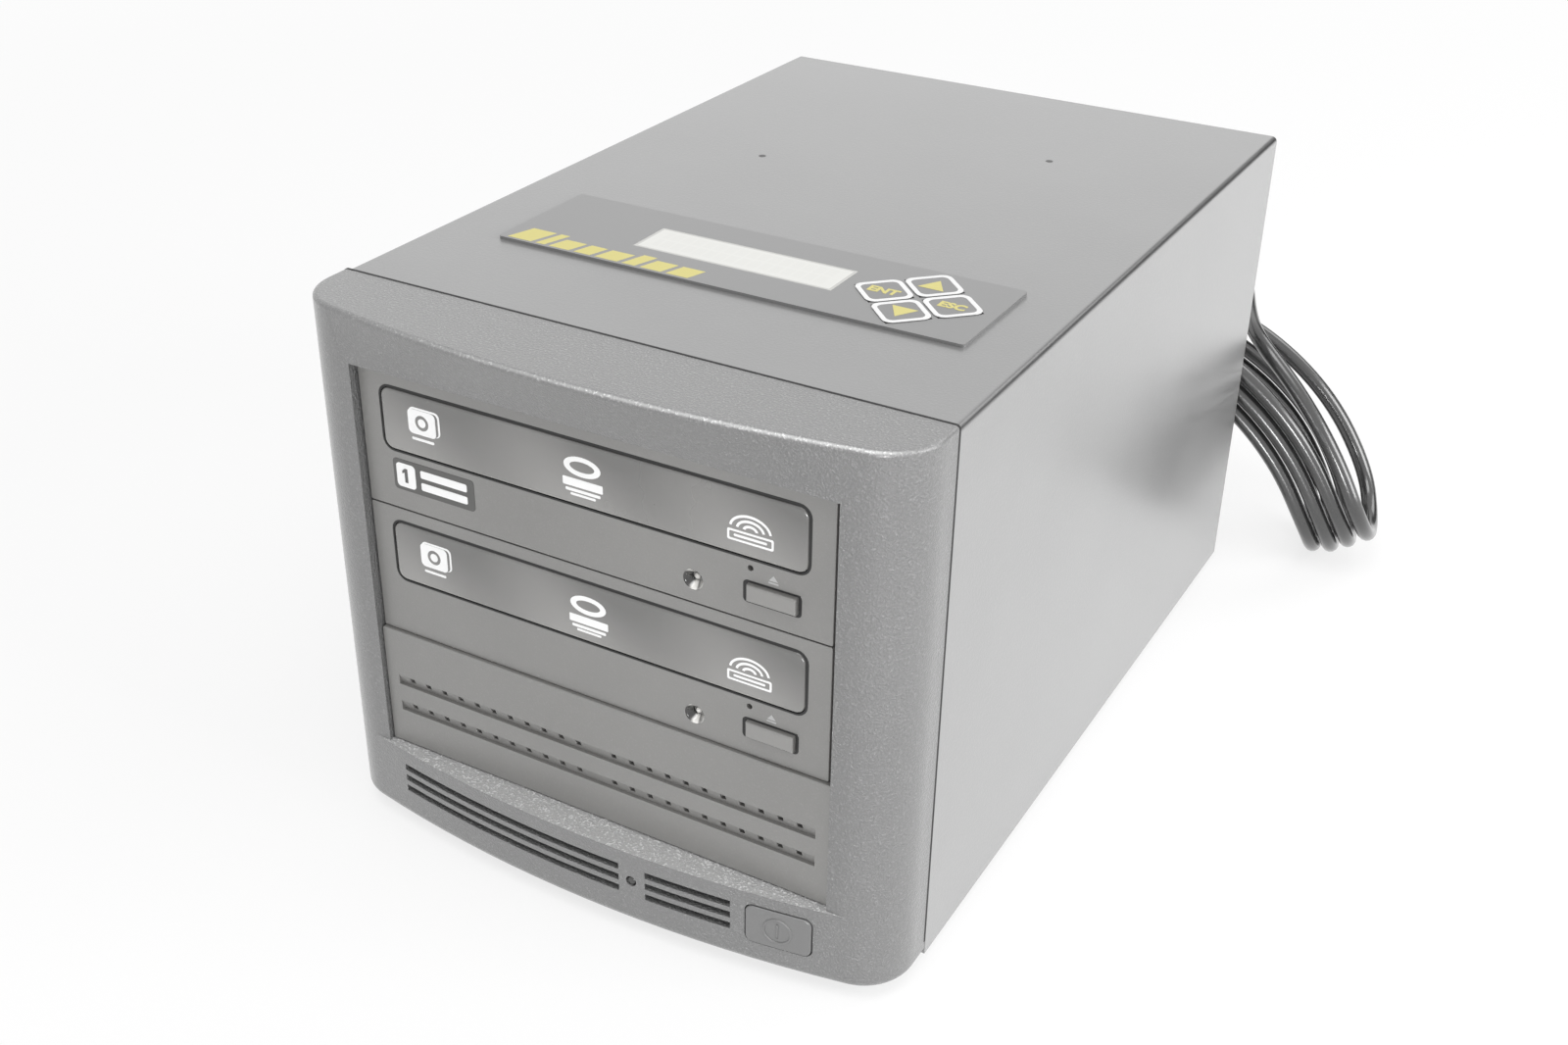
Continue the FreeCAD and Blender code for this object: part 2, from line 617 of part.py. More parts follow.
def add_rectangle(sketch, x, y):
    add_polygon(sketch, [(x[0], y[0]), (x[1], y[0]), (x[1], y[1]), (x[0], y[1])])


def add_circle(sketch, centre, radius):
    number = sketch.GeometryCount
    spot = Vector(float(centre[0]), float(centre[1]), 0)
    sketch.addGeometry(Part.Circle(spot, Vector(0, 0, 1), float(radius)), False)
    constrain(sketch, at_point(number, 3, centre) + [("Radius", number, radius)])


def add_rounded(sketch, x, y, corner):
    """A rectangle with equal round corners, drawn anticlockwise from its lower left."""
    first = sketch.GeometryCount
    (left, right), (low, high) = [(float(a), float(b)) for a, b in (x, y)]
    r = float(corner)
    corners = [(right - r, low + r), (right - r, high - r), (left + r, high - r), (left + r, low + r)]
    ends = [
        ((left + r, low), (right - r, low)),
        ((right, low + r), (right, high - r)),
        ((right - r, high), (left + r, high)),
        ((left, high - r), (left, low + r)),
    ]
    for i, ((start, end), centre) in enumerate(zip(ends, corners)):
        sketch.addGeometry(Part.LineSegment(Vector(*start, 0), Vector(*end, 0)), False)
        circle = Part.Circle(Vector(*centre, 0), Vector(0, 0, 1), r)
        turn = math.pi / 2
        sketch.addGeometry(Part.ArcOfCircle(circle, (i - 1) * turn, i * turn), False)
    constrain(sketch, [("Tangent", first + i, 2, first + (i + 1) % 8, 1) for i in range(8)])
    constrain(sketch, [("Horizontal", first), ("Vertical", first + 2)])
    constrain(sketch, [("Horizontal", first + 4), ("Vertical", first + 6)])
    constrain(sketch, [("Equal", first + 1, first + 3 + 2 * i) for i in range(3)])
    constrain(sketch, [
        ("DistanceY", -1, 1, first, 1, y[0] + 0.0),
        ("DistanceX", -1, 1, first + 2, 1, x[1] + 0.0),
        ("DistanceY", -1, 1, first + 4, 1, y[1] + 0.0),
        ("DistanceX", -1, 1, first + 6, 1, x[0] + 0.0),
        ("Radius", first + 1, corner),
    ])


def feature(body, kind, name, sketch, **properties):
    """A feature on a sketch. Lengths among its properties are tied to their formulas."""
    thing = body.newObject(f"PartDesign::{kind}", f"{body.Name}_{name}")
    thing.Profile = sketch
    for prop, value in properties.items():
        if isinstance(value, Length):
            bind(thing, prop, value)
        else:
            setattr(thing, prop, value)
    return thing


def pad(body, name, sketch, length, back=False):
    return feature(body, "Pad", name, sketch, Length=length, Reversed=back)


def pocket(body, name, sketch, length, back=False):
    return feature(body, "Pocket", name, sketch, Length=length, Reversed=back)


def rounded_edges(body, name, radius, chosen, kind="Fillet"):
    """Rounds, or chamfers, the edges of the body so far that the test chooses."""
    doc.recompute()
    tip = body.Tip
    names = [f"Edge{i}" for i, edge in enumerate(tip.Shape.Edges, start=1) if chosen(edge.BoundBox)]
    thing = body.newObject(f"PartDesign::{kind}", f"{body.Name}_{name}")
    thing.Base = (tip, names)
    bind(thing, "Radius" if kind == "Fillet" else "Size", radius)
    body.Tip = thing
    return thing


def repeated(body, name, original, axis, length, count):
    """Copies a feature along an axis of its sketch."""
    thing = body.newObject("PartDesign::LinearPattern", f"{body.Name}_{name}")
    thing.Originals = [original]
    thing.Direction = (original.Profile[0], [axis])
    bind(thing, "Length", length)
    thing.Occurrences = count
    body.Tip = thing
    return thing


def shaped(label, shape):
    """A sub-part whose shape is worked out from the sheet's sizes."""
    thing = doc.addObject("Part::Feature", label)
    thing.Shape = shape
    return keep(thing, label)


def softened(name, solid, radius, chosen):
    """A solid with the edges that the test chooses rounded."""
    doc.recompute()
    thing = doc.addObject("Part::Fillet", name)
    thing.Base = solid
    numbers = [i for i, edge in enumerate(solid.Shape.Edges, start=1) if chosen(edge.BoundBox)]
    thing.Edges = [(number, float(radius), float(radius)) for number in numbers]
    return thing


def flat_at(value, low, high):
    """Whether an edge's box lies in one plane at a value."""
    return abs(low - float(value)) < TOUCH and abs(high - float(value)) < TOUCH


# Main places

BORE_SHARE = 0.475
HUB_SHARE = 0.235

half = size.case_width / 2
base_z = size.foot_height
base_top = base_z + size.steel
top_z = base_z + size.case_height
under_top = top_z - size.steel
rear_proud = size.guard_ear + size.screw_head_height - size.steel - size.fit
crown = -(size.bezel_depth + size.cover_length + rear_proud) / 2
seam = crown + size.bezel_depth
back = seam + size.cover_length
face = crown + size.face_setback
frame_y = crown + size.frame_setback
bay_top = top_z - size.brow_height
bay_low = bay_top - size.bay_height
bay_half = size.bay_width / 2
chassis_half = half - size.steel - size.fit
chassis_top = under_top - size.fit
rear_face = back - size.steel - size.fit
rear_front = rear_face - size.steel
front_plate = seam + size.bezel_gap + size.front_plate_gap
front_plate_back = front_plate + size.steel
drive_tops = [bay_top - size.drive_drop - size.bay_pitch * i for i in range(2)]
drive_back = face + size.face_thickness + size.shell_length


# Front bezel

def add_plan(sketch, half_width, rear, corner, front, bulge=None):
    """The bezel from above: sides, rear edge, round corners and a straight or bulged front."""
    wide, r, y = float(half_width), float(corner), float(front)
    centre_x = wide - r
    if bulge is None:
        centre_y = y + r
        start = -math.pi / 2
        outline = Part.LineSegment(Vector(-centre_x, y, 0), Vector(centre_x, y, 0))
    else:
        middle = Vector(0, y + float(bulge), 0)
        centre_y = middle.y - math.sqrt((float(bulge) - r) ** 2 - centre_x ** 2)
        start = math.atan2(centre_y - middle.y, centre_x)
        circle = Part.Circle(middle, Vector(0, 0, 1), float(bulge))
        outline = Part.ArcOfCircle(circle, -math.pi - start, start)
    right, left = Vector(centre_x, centre_y, 0), Vector(-centre_x, centre_y, 0)
    right_side, left_side = Vector(wide, centre_y, 0), Vector(-wide, centre_y, 0)
    right_rear, left_rear = Vector(wide, float(rear), 0), Vector(-wide, float(rear), 0)
    sketch.addGeometry([
        outline,
        Part.ArcOfCircle(Part.Circle(right, Vector(0, 0, 1), r), start, 0),
        Part.LineSegment(right_side, right_rear),
        Part.LineSegment(right_rear, left_rear),
        Part.LineSegment(left_rear, left_side),
        Part.ArcOfCircle(Part.Circle(left, Vector(0, 0, 1), r), math.pi, -math.pi - start),
    ], False)
    constrain(sketch, [("Tangent", 0, 2, 1, 1), ("Tangent", 1, 2, 2, 1), ("Coincident", 2, 2, 3, 1)])
    constrain(sketch, [("Coincident", 3, 2, 4, 1), ("Tangent", 4, 2, 5, 1), ("Tangent", 5, 2, 0, 1)])
    constrain(sketch, [("Vertical", 2), ("Horizontal", 3), ("Vertical", 4), ("Equal", 1, 5)])
    constrain(sketch, [
        ("DistanceX", -1, 1, 2, 2, half_width),
        ("DistanceX", -1, 1, 4, 1, -half_width),
        ("DistanceY", -1, 1, 2, 2, rear),
        ("Radius", 1, corner),
    ])
    if bulge is None:
        constrain(sketch, [("Horizontal", 0), ("DistanceY", -1, 1, 0, 1, front)])
    else:
        constrain(sketch, [("Radius", 0, bulge)] + at_point(0, 3, (0, front + bulge)))


def plan_sketch(body, name, height, inset, bulged, rear):
    sketch = new_sketch(body, name, height=height)
    front = crown if bulged else frame_y
    bulge = size.bezel_bulge - inset if bulged else None
    add_plan(sketch, half - inset, rear, size.bezel_corner - inset, front + inset, bulge)
    return sketch


clip_places = [base_z + size.clip_low, base_z + size.clip_high]
switch_front = front_plate - size.switch_reach
button_top = bay_low - size.button_drop
button_mid = button_top - size.button_height / 2
light_z = bay_low - size.light_drop
clip_inner = half - size.bezel_wall - size.clip_inset


def make_front_bezel():
    body = new_body("front_bezel")
    bezel_top = top_z + size.bezel_lip
    rear = seam
    rail = plan_sketch(body, "rail_plan", base_z, 0, True, rear)
    pad(body, "rail", rail, bay_low - base_z)
    columns = plan_sketch(body, "column_plan", bay_low, 0, False, rear)
    pad(body, "columns", columns, bay_top - bay_low)
    brow_low = plan_sketch(body, "brow_low_plan", bay_top, 0, False, rear)
    brow_high = plan_sketch(body, "brow_high_plan", bezel_top, 0, True, rear)
    brow = body.newObject("PartDesign::AdditiveLoft", "front_bezel_brow")
    brow.Profile = brow_low
    brow.Sections = [brow_high]
    brow.Ruled = True
    front_edge = float(rear) - TOUCH

    def upper(box):
        return flat_at(bezel_top, box.ZMin, box.ZMax) and box.YMin < front_edge

    def lower(box):
        return flat_at(base_z, box.ZMin, box.ZMax) and box.YMin < front_edge

    rounded_edges(body, "top_round", size.bezel_top_round, upper)
    rounded_edges(body, "foot_round", size.bezel_foot_round, lower)
    past = rear + size.overrun
    hollow = plan_sketch(body, "hollow_plan", base_z + size.bezel_wall, size.bezel_wall, False, past)
    pocket(body, "hollow", hollow, bezel_top - base_z - size.bezel_wall * 2, back=True)
    rail_hollow = plan_sketch(body, "rail_hollow_plan", base_z + size.bezel_wall, size.bezel_wall, True, past)
    pocket(body, "rail_hollow", rail_hollow, bay_low - base_z - size.bezel_wall * 2, back=True)
    collar = new_sketch(body, "collar_outline", "XZ_Plane", -(frame_y + size.bezel_wall))
    collar_half = bay_half + size.bezel_wall
    add_rectangle(collar, (-collar_half, collar_half), (bay_low - size.bezel_wall, bay_top + size.bezel_wall))
    add_rectangle(collar, (-bay_half, bay_half), (bay_low, bay_top))
    pad(body, "collar", collar, size.collar_depth, back=True)
    clips = new_sketch(body, "clip_outline", "XZ_Plane", -(frame_y + size.bezel_wall))
    hooks = new_sketch(body, "hook_outline", "XZ_Plane", -(front_plate_back + size.fit))
    for side in (1, -1):
        for z in clip_places:
            ends = (z - size.clip_width / 2, z + size.clip_width / 2)
            spans = in_order(clip_inner * side, (clip_inner + size.clip_thickness) * side)
            add_rectangle(clips, spans, ends)
            hook = in_order((clip_inner - size.clip_hook) * side, clip_inner * side)
            add_rectangle(hooks, hook, ends)
    pad(body, "clips", clips, seam + size.clip_reach - frame_y - size.bezel_wall, back=True)
    pad(body, "hooks", hooks, size.clip_hook_length, back=True)
    boss = new_sketch(body, "light_boss_outline", "XZ_Plane", -(crown + size.bezel_wall))
    add_circle(boss, (size.light_x, light_z), size.light_radius + size.light_boss)
    pad(body, "light_boss", boss, size.light_boss_length, back=True)
    bay = new_sketch(body, "bay_outline", "XZ_Plane", -(crown - size.overrun))
    add_rectangle(bay, (-bay_half, bay_half), (bay_low, bay_top))
    pocket(body, "bay", bay, size.face_setback + size.overrun + size.fit)
    holes = new_sketch(body, "rail_holes", "XZ_Plane", -(crown - size.overrun))
    add_circle(holes, (size.light_x, light_z), size.light_radius + size.fit)
    half_button = size.button_width / 2 + size.button_gap
    add_rounded(
        holes,
        (size.button_x - half_button, size.button_x + half_button),
        (button_top - size.button_height - size.button_gap, button_top + size.button_gap),
        size.button_corner + size.button_gap,
    )
    pocket(body, "rail_openings", holes, size.bezel_depth)
    vents = new_sketch(body, "vent_outline", "XZ_Plane", -(crown - size.overrun))
    low = bay_low - size.slot_drop - size.slot_height - size.slot_pitch * 2
    for start, end in (
        (size.left_slots_start, size.left_slots_end),
        (size.right_slots_start, size.right_slots_end),
    ):
        add_rectangle(vents, (start, end), (low, low + size.slot_height))
    slot = pocket(body, "vent", vents, size.bezel_depth)
    repeated(body, "vents", slot, "V_Axis", size.slot_pitch * 2, 3)


make_front_bezel()


# Blank panel of the third bay

def make_blank_panel():
    body = new_body("bay_blank_panel")
    front = face - size.panel_proud
    wide = bay_half - size.panel_side_gap
    low = bay_low + size.fit
    high = drive_tops[1] - size.face_height - size.panel_seam
    outline = new_sketch(body, "outline", "XZ_Plane", -front)
    add_rounded(outline, (-wide, wide), (low, high), size.panel_corner_round)
    pad(body, "face", outline, size.panel_thickness, back=True)

    def front_edges(box):
        return flat_at(front, box.YMin, box.YMax)

    rounded_edges(body, "edge", size.panel_edge, front_edges)
    rim = new_sketch(body, "rim_outline", "XZ_Plane", -(front + size.panel_thickness))
    add_rectangle(rim, (-wide + size.fit, wide - size.fit), (low + size.fit, high - size.fit))
    inner = wide - size.fit - size.bezel_wall
    add_rectangle(rim, (-inner, inner), (low + size.fit + size.bezel_wall, high - size.fit - size.bezel_wall))
    pad(body, "rim", rim, size.panel_rim, back=True)
    grooves = new_sketch(body, "groove_outline", "YZ_Plane", -(size.groove_length / 2))
    holes = new_sketch(body, "hole_outline", "XZ_Plane", -(front - size.overrun))
    pitches = size.hole_pitch * (HOLES - 1)
    side = size.hole_side / 2
    for groove in range(2):
        top = high - size.groove_drop - size.groove_pitch * groove
        foot = top - size.groove_height
        before = front - size.overrun
        add_polygon(grooves, [(before, top), (front, top), (front + size.groove_depth, foot), (before, foot)])
        middle = top - size.hole_drop
        for x in (-(size.hole_start + pitches), size.hole_start):
            add_rectangle(holes, (x - side, x + side), (middle - side, middle + side))
    pocket(body, "grooves", grooves, size.groove_length, back=True)
    hole = pocket(body, "hole", holes, size.panel_thickness + size.overrun * 2)
    repeated(body, "holes", hole, "H_Axis", pitches, HOLES)


make_blank_panel()


# Cover

panel_front = crown + size.panel_setback
window_y = crown + size.window_setback
keys_y = crown + size.keys_setback
KEY_WAYS = {"enter_key": (-1, 0), "escape_key": (1, 0), "up_key": (0, 1), "down_key": (0, -1)}
key_places = {
    name: (size.keys_x + size.key_reach * way[0], keys_y + size.key_reach * way[1])
    for name, way in KEY_WAYS.items()
}
window_box = (
    (size.window_x - size.window_width / 2, size.window_x + size.window_width / 2),
    (window_y - size.window_length / 2, window_y + size.window_length / 2),
)
psu_z = under_top - size.psu_gap - size.psu_height / 2
fan_z = base_z + size.fan_z
psu_screw_x = size.psu_width / 2 - size.psu_screw_inset
psu_screw_z = size.psu_height / 2 - size.psu_screw_inset
PSU_SCREWS = [(psu_screw_x * a, psu_z + psu_screw_z * b) for a, b in CORNERS]
FAN_SCREWS = [(size.fan_x + size.fan_hole * a, fan_z + size.fan_hole * b) for a, b in CORNERS]
PSU_FAN_SCREWS = [(size.psu_fan_x + size.psu_fan_hole * a, psu_z + size.psu_fan_hole * b) for a, b in CORNERS]
rim_x = half - size.steel - size.cover_flange / 2
COVER_SCREWS = [(rim_x * side, base_z + z) for side in (1, -1) for z in (size.rim_screw_low, size.rim_screw_high)]
TOP_SCREWS = [(size.rim_screw_x * side, under_top - size.cover_flange / 2) for side in (1, -1)]
COVER_SCREWS += TOP_SCREWS


def add_diamond(sketch, centre, side):
    """A square on its corner."""
    reach = side / math.sqrt(2)
    x, y = centre
    add_polygon(sketch, [(x - reach, y), (x, y - reach), (x + reach, y), (x, y + reach)])


def make_cover():
    body = new_body("case_cover")
    front = seam + size.bezel_gap
    outline = new_sketch(body, "outline", "XZ_Plane", -front)
    add_rectangle(outline, (-half, half), (base_z, top_z))
    pad(body, "block", outline, back - front, back=True)

    def bends(box):
        return flat_at(top_z, box.ZMin, box.ZMax) and box.YLength > float(size.cover_length) / 2

    rounded_edges(body, "bends", size.bend_radius, bends)
    hollow = new_sketch(body, "hollow_outline", "XZ_Plane", -(front - size.overrun))
    inner = half - size.steel
    add_rectangle(hollow, (-inner, inner), (base_z - size.overrun, under_top))
    pocket(body, "hollow", hollow, back - front - size.steel + size.overrun)
    rim = new_sketch(body, "rim_outline", "XZ_Plane", -(back - size.overrun))
    rim_half = inner - size.cover_flange
    add_rectangle(rim, (-rim_half, rim_half), (base_z - size.overrun, under_top - size.cover_flange))
    pocket(body, "rim", rim, size.overrun * 2)
    screws = new_sketch(body, "screw_holes", "XZ_Plane", -(back - size.overrun))
    for place in COVER_SCREWS:
        add_circle(screws, place, size.screw_radius + size.shaft_fit)
    pocket(body, "screw_bores", screws, size.overrun * 2)
    notches = new_sketch(body, "notches", "XZ_Plane", -(back - size.overrun))
    for place in PSU_SCREWS[::2]:
        add_circle(notches, place, size.screw_head_radius + size.fit)
    pocket(body, "screw_notches", notches, size.overrun * 2)
    openings = new_sketch(body, "top_openings", height=top_z + size.overrun)
    (left, right), (low, high) = window_box
    seat = size.window_seat
    add_rectangle(openings, (left + seat, right - seat), (low + seat, high - seat))
    for place in key_places.values():
        add_diamond(openings, place, size.key_side + size.key_gap * 2)
    pocket(body, "display_openings", openings, size.overrun * 2)


make_cover()


# Chassis: base with raised edges, front plate and rear panel

VENTS = 9


def make_chassis():
    body = new_body("case_chassis")
    length = rear_face - front_plate
    tray = new_sketch(body, "tray_profile", "XZ_Plane", -front_plate)
    inner = chassis_half - size.steel
    edge = base_z + size.base_edge
    add_polygon(tray, [
        (-chassis_half, base_z), (chassis_half, base_z), (chassis_half, edge), (inner, edge),
        (inner, base_top), (-inner, base_top), (-inner, edge), (-chassis_half, edge),
    ])
    pad(body, "base", tray, length, back=True)
    for name, y in (("front", front_plate), ("rear", rear_front)):
        sheet_outline = new_sketch(body, f"{name}_outline", "XZ_Plane", -y)
        add_rectangle(sheet_outline, (-chassis_half, chassis_half), (base_z, chassis_top))
        pad(body, f"{name}_sheet", sheet_outline, size.steel, back=True)
    front = new_sketch(body, "front_holes", "XZ_Plane", -(front_plate - size.overrun / 2))
    opening = size.shell_width / 2 + size.front_frame
    add_rectangle(front, (size.drive_x - opening, size.drive_x + opening), (bay_low, bay_top))
    for side in (1, -1):
        for z in clip_places:
            reach = size.clip_width / 2 + size.fit
            inner_side = (clip_inner - size.clip_hook - size.fit) * side
            outer_side = (clip_inner + size.clip_thickness + size.fit) * side
            add_rectangle(front, in_order(inner_side, outer_side), (z - reach, z + reach))
    room = size.switch_width / 2 + size.fit
    add_rectangle(front, (size.button_x - room, size.button_x + room), (button_mid - room, button_mid + room))
    pocket(body, "front_openings", front, size.overrun)
    rear = new_sketch(body, "rear_holes", "XZ_Plane", -(rear_front - size.overrun / 2))
    x, z, tab = size.psu_width / 2 - size.psu_rim, size.psu_height / 2 - size.psu_rim, size.psu_tab
    add_polygon(rear, [
        (-x, psu_z - z + tab), (-x + tab, psu_z - z), (x - tab, psu_z - z), (x, psu_z - z + tab),
        (x, psu_z + z - tab), (x - tab, psu_z + z), (-x + tab, psu_z + z), (-x, psu_z + z - tab),
    ])
    add_circle(rear, (size.fan_x, fan_z), size.fan_side * BORE_SHARE)
    for place in PSU_SCREWS + FAN_SCREWS + COVER_SCREWS:
        add_circle(rear, place, size.screw_radius + size.shaft_fit)
    pocket(body, "rear_openings", rear, size.overrun)
    vents = new_sketch(body, "vent_outline", "XZ_Plane", -(rear_front - size.overrun / 2))
    low = base_z + size.vent_low
    reach = size.vent_slot_width / 2
    add_rectangle(vents, (size.vent_x - reach, size.vent_x + reach), (low, low + size.vent_slot_height))
    vent = pocket(body, "vent", vents, size.overrun)
    repeated(body, "vents", vent, "V_Axis", size.vent_count_pitch * (VENTS - 1), VENTS)


make_chassis()


# Rubber feet

def make_feet():
    feet = []
    near, far = front_plate + size.foot_inset, rear_face - size.foot_inset
    for number, (side, y) in enumerate([(a, b) for a in (1, -1) for b in (near, far)]):
        x = (chassis_half - size.foot_inset) * side
        low = size.foot_radius - size.foot_taper
        foot = rod(f"foot_{number}", low, (x, y, 0), "z", base_z, size.foot_radius)
        well = rod(f"foot_well_{number}", size.foot_screw_bore, (x, y, 0), "z", size.foot_screw_depth)
        feet.append(carved(f"foot_{number}", [foot], [well]))
    keep(group("feet_group", feet), "rubber_feet")


make_feet()


# Screws. Each has a domed head, a shank and a crossed recess.

RECESS_SHARE = 0.7


def screw(name, at, axis, way, grip):
    """A screw whose head sits on a surface at a point; its shank runs the way given, through the grip."""
    x, y, z = at
    index = "xyz".index(axis)
    head = size.screw_head_height

    def along(start, length):
        spot = [x, y, z]
        spot[index] = spot[index] + (start if way > 0 else -(start + length))
        return spot

    cap = rod(f"{name}_head", size.screw_head_radius, along(-head, head), axis, head)
    shank = rod(f"{name}_shank", size.screw_radius, along(0, grip), axis, grip)
    cuts = []
    depth = head / 2
    for arm in range(2):
        spans = []
        cross = 0
        for place in range(3):
            if place == index:
                low = along(-head, depth)[index]
                spans.append((low, low + depth))
                continue
            reach = size.screw_head_radius * RECESS_SHARE if cross == arm else size.screw_slot / 2
            spans.append((at[place] - reach, at[place] + reach))
            cross += 1
        cuts.append(box(f"{name}_recess_{arm}", *spans))
    return carved(name, [cap, shank], cuts)


def make_screws():
    cover = [
        screw(f"cover_screw_{i}", (x, back, z), "y", -1, size.screw_length)
        for i, (x, z) in enumerate(COVER_SCREWS)
    ]
    keep(group("cover_screw_group", cover), "cover_screws")
    guard_back = rear_face + size.guard_ear
    rear = [
        screw(f"psu_screw_{i}", (x, rear_face, z), "y", -1, size.screw_length)
        for i, (x, z) in enumerate(PSU_SCREWS)
    ]
    rear += [
        screw(f"fan_screw_{i}", (x, guard_back, z), "y", -1, size.fan_screw_length)
        for i, (x, z) in enumerate(FAN_SCREWS)
    ]
    guard_back = rear_front + size.guard_ear
    rear += [
        screw(f"psu_fan_screw_{i}", (x, guard_back, z), "y", -1, size.fan_screw_length)
        for i, (x, z) in enumerate(PSU_FAN_SCREWS)
    ]
    keep(group("rear_screw_group", rear), "rear_panel_screws")
    plate = size.shell_width / 2 + size.fit + size.bracket_sheet
    drive = []
    for number, top in enumerate(drive_tops):
        for side in (1, -1):
            for spot, y in enumerate(drive_screw_ys):
                at = (size.drive_x + plate * side, y, top - size.face_height + size.drive_screw_rise)
                name = f"drive_screw_{number}_{'right' if side > 0 else 'left'}_{spot}"
                drive.append(screw(name, at, "x", -side, size.drive_screw_grip))
    keep(group("drive_screw_group", drive), "drive_screws")


drive_screw_ys = [face + size.drive_screw_front, face + size.drive_screw_front + size.drive_screw_pitch]
make_screws()


# Brackets that carry the drives

def make_brackets():
    brackets = []
    near = crown + size.bracket_setback
    far = near + size.bracket_length
    for name, side in (("right", 1), ("left", -1)):
        inner = size.drive_x + (size.shell_width / 2 + size.fit) * side
        outer = inner + size.bracket_sheet * side
        toe = outer + size.bracket_foot * side
        wall = box(f"bracket_{name}_wall", in_order(inner, outer), (near, far), (base_top, bay_top))
        foot_z = (base_top, base_top + size.bracket_sheet)
        foot = box(f"bracket_{name}_foot", in_order(outer, toe), (near, far), foot_z)
        cuts = []
        for number, top in enumerate(drive_tops):
            for spot, y in enumerate(drive_screw_ys):
                z = top - size.face_height + size.drive_screw_rise
                start = in_order(inner, outer)[0] - size.overrun / 2
                bore = size.screw_radius + size.shaft_fit
                cuts.append(rod(f"bracket_{name}_{number}_{spot}", bore, (start, y, z), "x", size.overrun))
        brackets.append(carved(f"bracket_{name}", [wall, foot], cuts))
    keep(group("bracket_group", brackets), "drive_brackets")


make_brackets()


# Display panel, window, keys and their boards

def make_overlay():
    body = new_body("keypad_overlay")
    wide = size.panel_width / 2
    outline = new_sketch(body, "outline", height=top_z)
    spans = (size.panel_x - wide, size.panel_x + wide), (panel_front, panel_front + size.panel_length)
    add_rounded(outline, *spans, size.panel_corner)
    pad(body, "film", outline, size.film)
    openings = new_sketch(body, "openings", height=top_z + size.film + size.overrun)
    (left, right), (low, high) = window_box
    gap = size.shaft_fit
    add_rectangle(openings, (left - gap, right + gap), (low - gap, high + gap))
    for place in key_places.values():
        add_diamond(openings, place, size.key_side + size.key_gap * 2)
    pocket(body, "cut_outs", openings, size.film + size.overrun * 2)


def make_window():
    body = new_body("display_window")
    outline = new_sketch(body, "outline", height=top_z)
    add_rectangle(outline, *window_box)
    pad(body, "pane", outline, size.film)


def make_display():
    high = under_top
    glass_top = high - size.display_gap
    frame_low = glass_top - size.module_bezel_height
    board_low = frame_low - size.board
    x, y = size.window_x, window_y

    def centred(width, length, z):
        return (x - width / 2, x + width / 2), (y - length / 2, y + length / 2), z

    plate = box("display_board", *centred(size.module_width, size.module_length, (board_low, frame_low)))
    frame = box("display_frame", *centred(size.module_bezel_width, size.module_bezel_length, (frame_low, glass_top)))
    view = centred(size.window_width, size.window_length, (glass_top - size.film, glass_top + size.overrun))
    spacers = []
    for i, (a, b) in enumerate(CORNERS):
        at_x = x + (size.module_width / 2 - size.standoff_radius) * a
        at_y = y + (size.module_length / 2 - size.standoff_radius) * b
        spot = (at_x, at_y, frame_low)
        spacers.append(rod(f"display_spacer_{i}", size.standoff_radius, spot, "z", high - frame_low))
    module = carved("display", [plate, frame] + spacers, [box("display_view", *view)])
    keep(module, "display_module")


def make_key(name):
    """A key about its own middle, seen square, then turned onto its corner."""
    body = new_body(name)
    reach = size.key_side / 2
    cap_top = top_z + size.film + size.key_proud
    flange_top = under_top - size.fit
    flange_low = top_z - size.key_skirt
    cap = new_sketch(body, "cap_outline", height=flange_top)
    add_rounded(cap, (-reach, reach), (-reach, reach), size.key_corner)
    pad(body, "cap", cap, cap_top - flange_top)

    def top_edges(box):
        return flat_at(cap_top, box.ZMin, box.ZMax)

    rounded_edges(body, "edge", size.key_edge, top_edges)
    flange = new_sketch(body, "flange_outline", height=flange_low)
    wide = reach + size.key_flange
    add_rounded(flange, (-wide, wide), (-wide, wide), size.key_corner)
    pad(body, "flange", flange, flange_top - flange_low)
    stem = new_sketch(body, "stem_outline", height=flange_low - size.key_stem_length)
    add_circle(stem, (0, 0), size.key_stem_radius)
    pad(body, "stem", stem, size.key_stem_length)
    body.Placement = FreeCAD.Placement(Vector(), FreeCAD.Rotation(Vector(0, 0, 1), EIGHTH_TURN))
    x, y = key_places[name]
    put(body, x, y)


EIGHTH_TURN = 45


def make_keypad_board():
    tact_top = top_z - size.key_skirt - size.key_stem_length - size.tact_gap
    top = tact_top - size.tact_height
    low = top - size.board
    x, y, reach = size.keys_x, keys_y, size.keyboard_side / 2
    plate = box("key_board_plate", (x - reach, x + reach), (y - reach, y + reach), (low, top))
    parts = [plate]
    for name, (at_x, at_y) in key_places.items():
        side = size.tact_side / 2
        case_top = top + size.tact_height / 2
        spans = (at_x - side, at_x + side), (at_y - side, at_y + side), (top, case_top)
        parts.append(box(f"{name}_switch", *spans))
        plunger = (at_x, at_y, case_top)
        parts.append(rod(f"{name}_plunger", size.key_stem_radius, plunger, "z", tact_top - case_top))
    inset = reach - size.standoff_radius
    for i, (a, b) in enumerate(CORNERS):
        spot = (x + inset * a, y + inset * b, top)
        parts.append(rod(f"key_board_spacer_{i}", size.standoff_radius, spot, "z", under_top - top))
    keep(carved("key_board", parts), "keypad_board")


make_overlay()
make_window()
make_display()
for key in KEY_WAYS:
    make_key(key)
make_keypad_board()


# Controller board and its standoffs

board_front = crown + size.controller_setback
board_back = board_front + size.controller_length
board_z = base_top + size.standoff_height
board_top = board_z + size.board
data_sockets = [size.drive_x + size.data_x + size.data_spread * way for way in (-1, 1)]


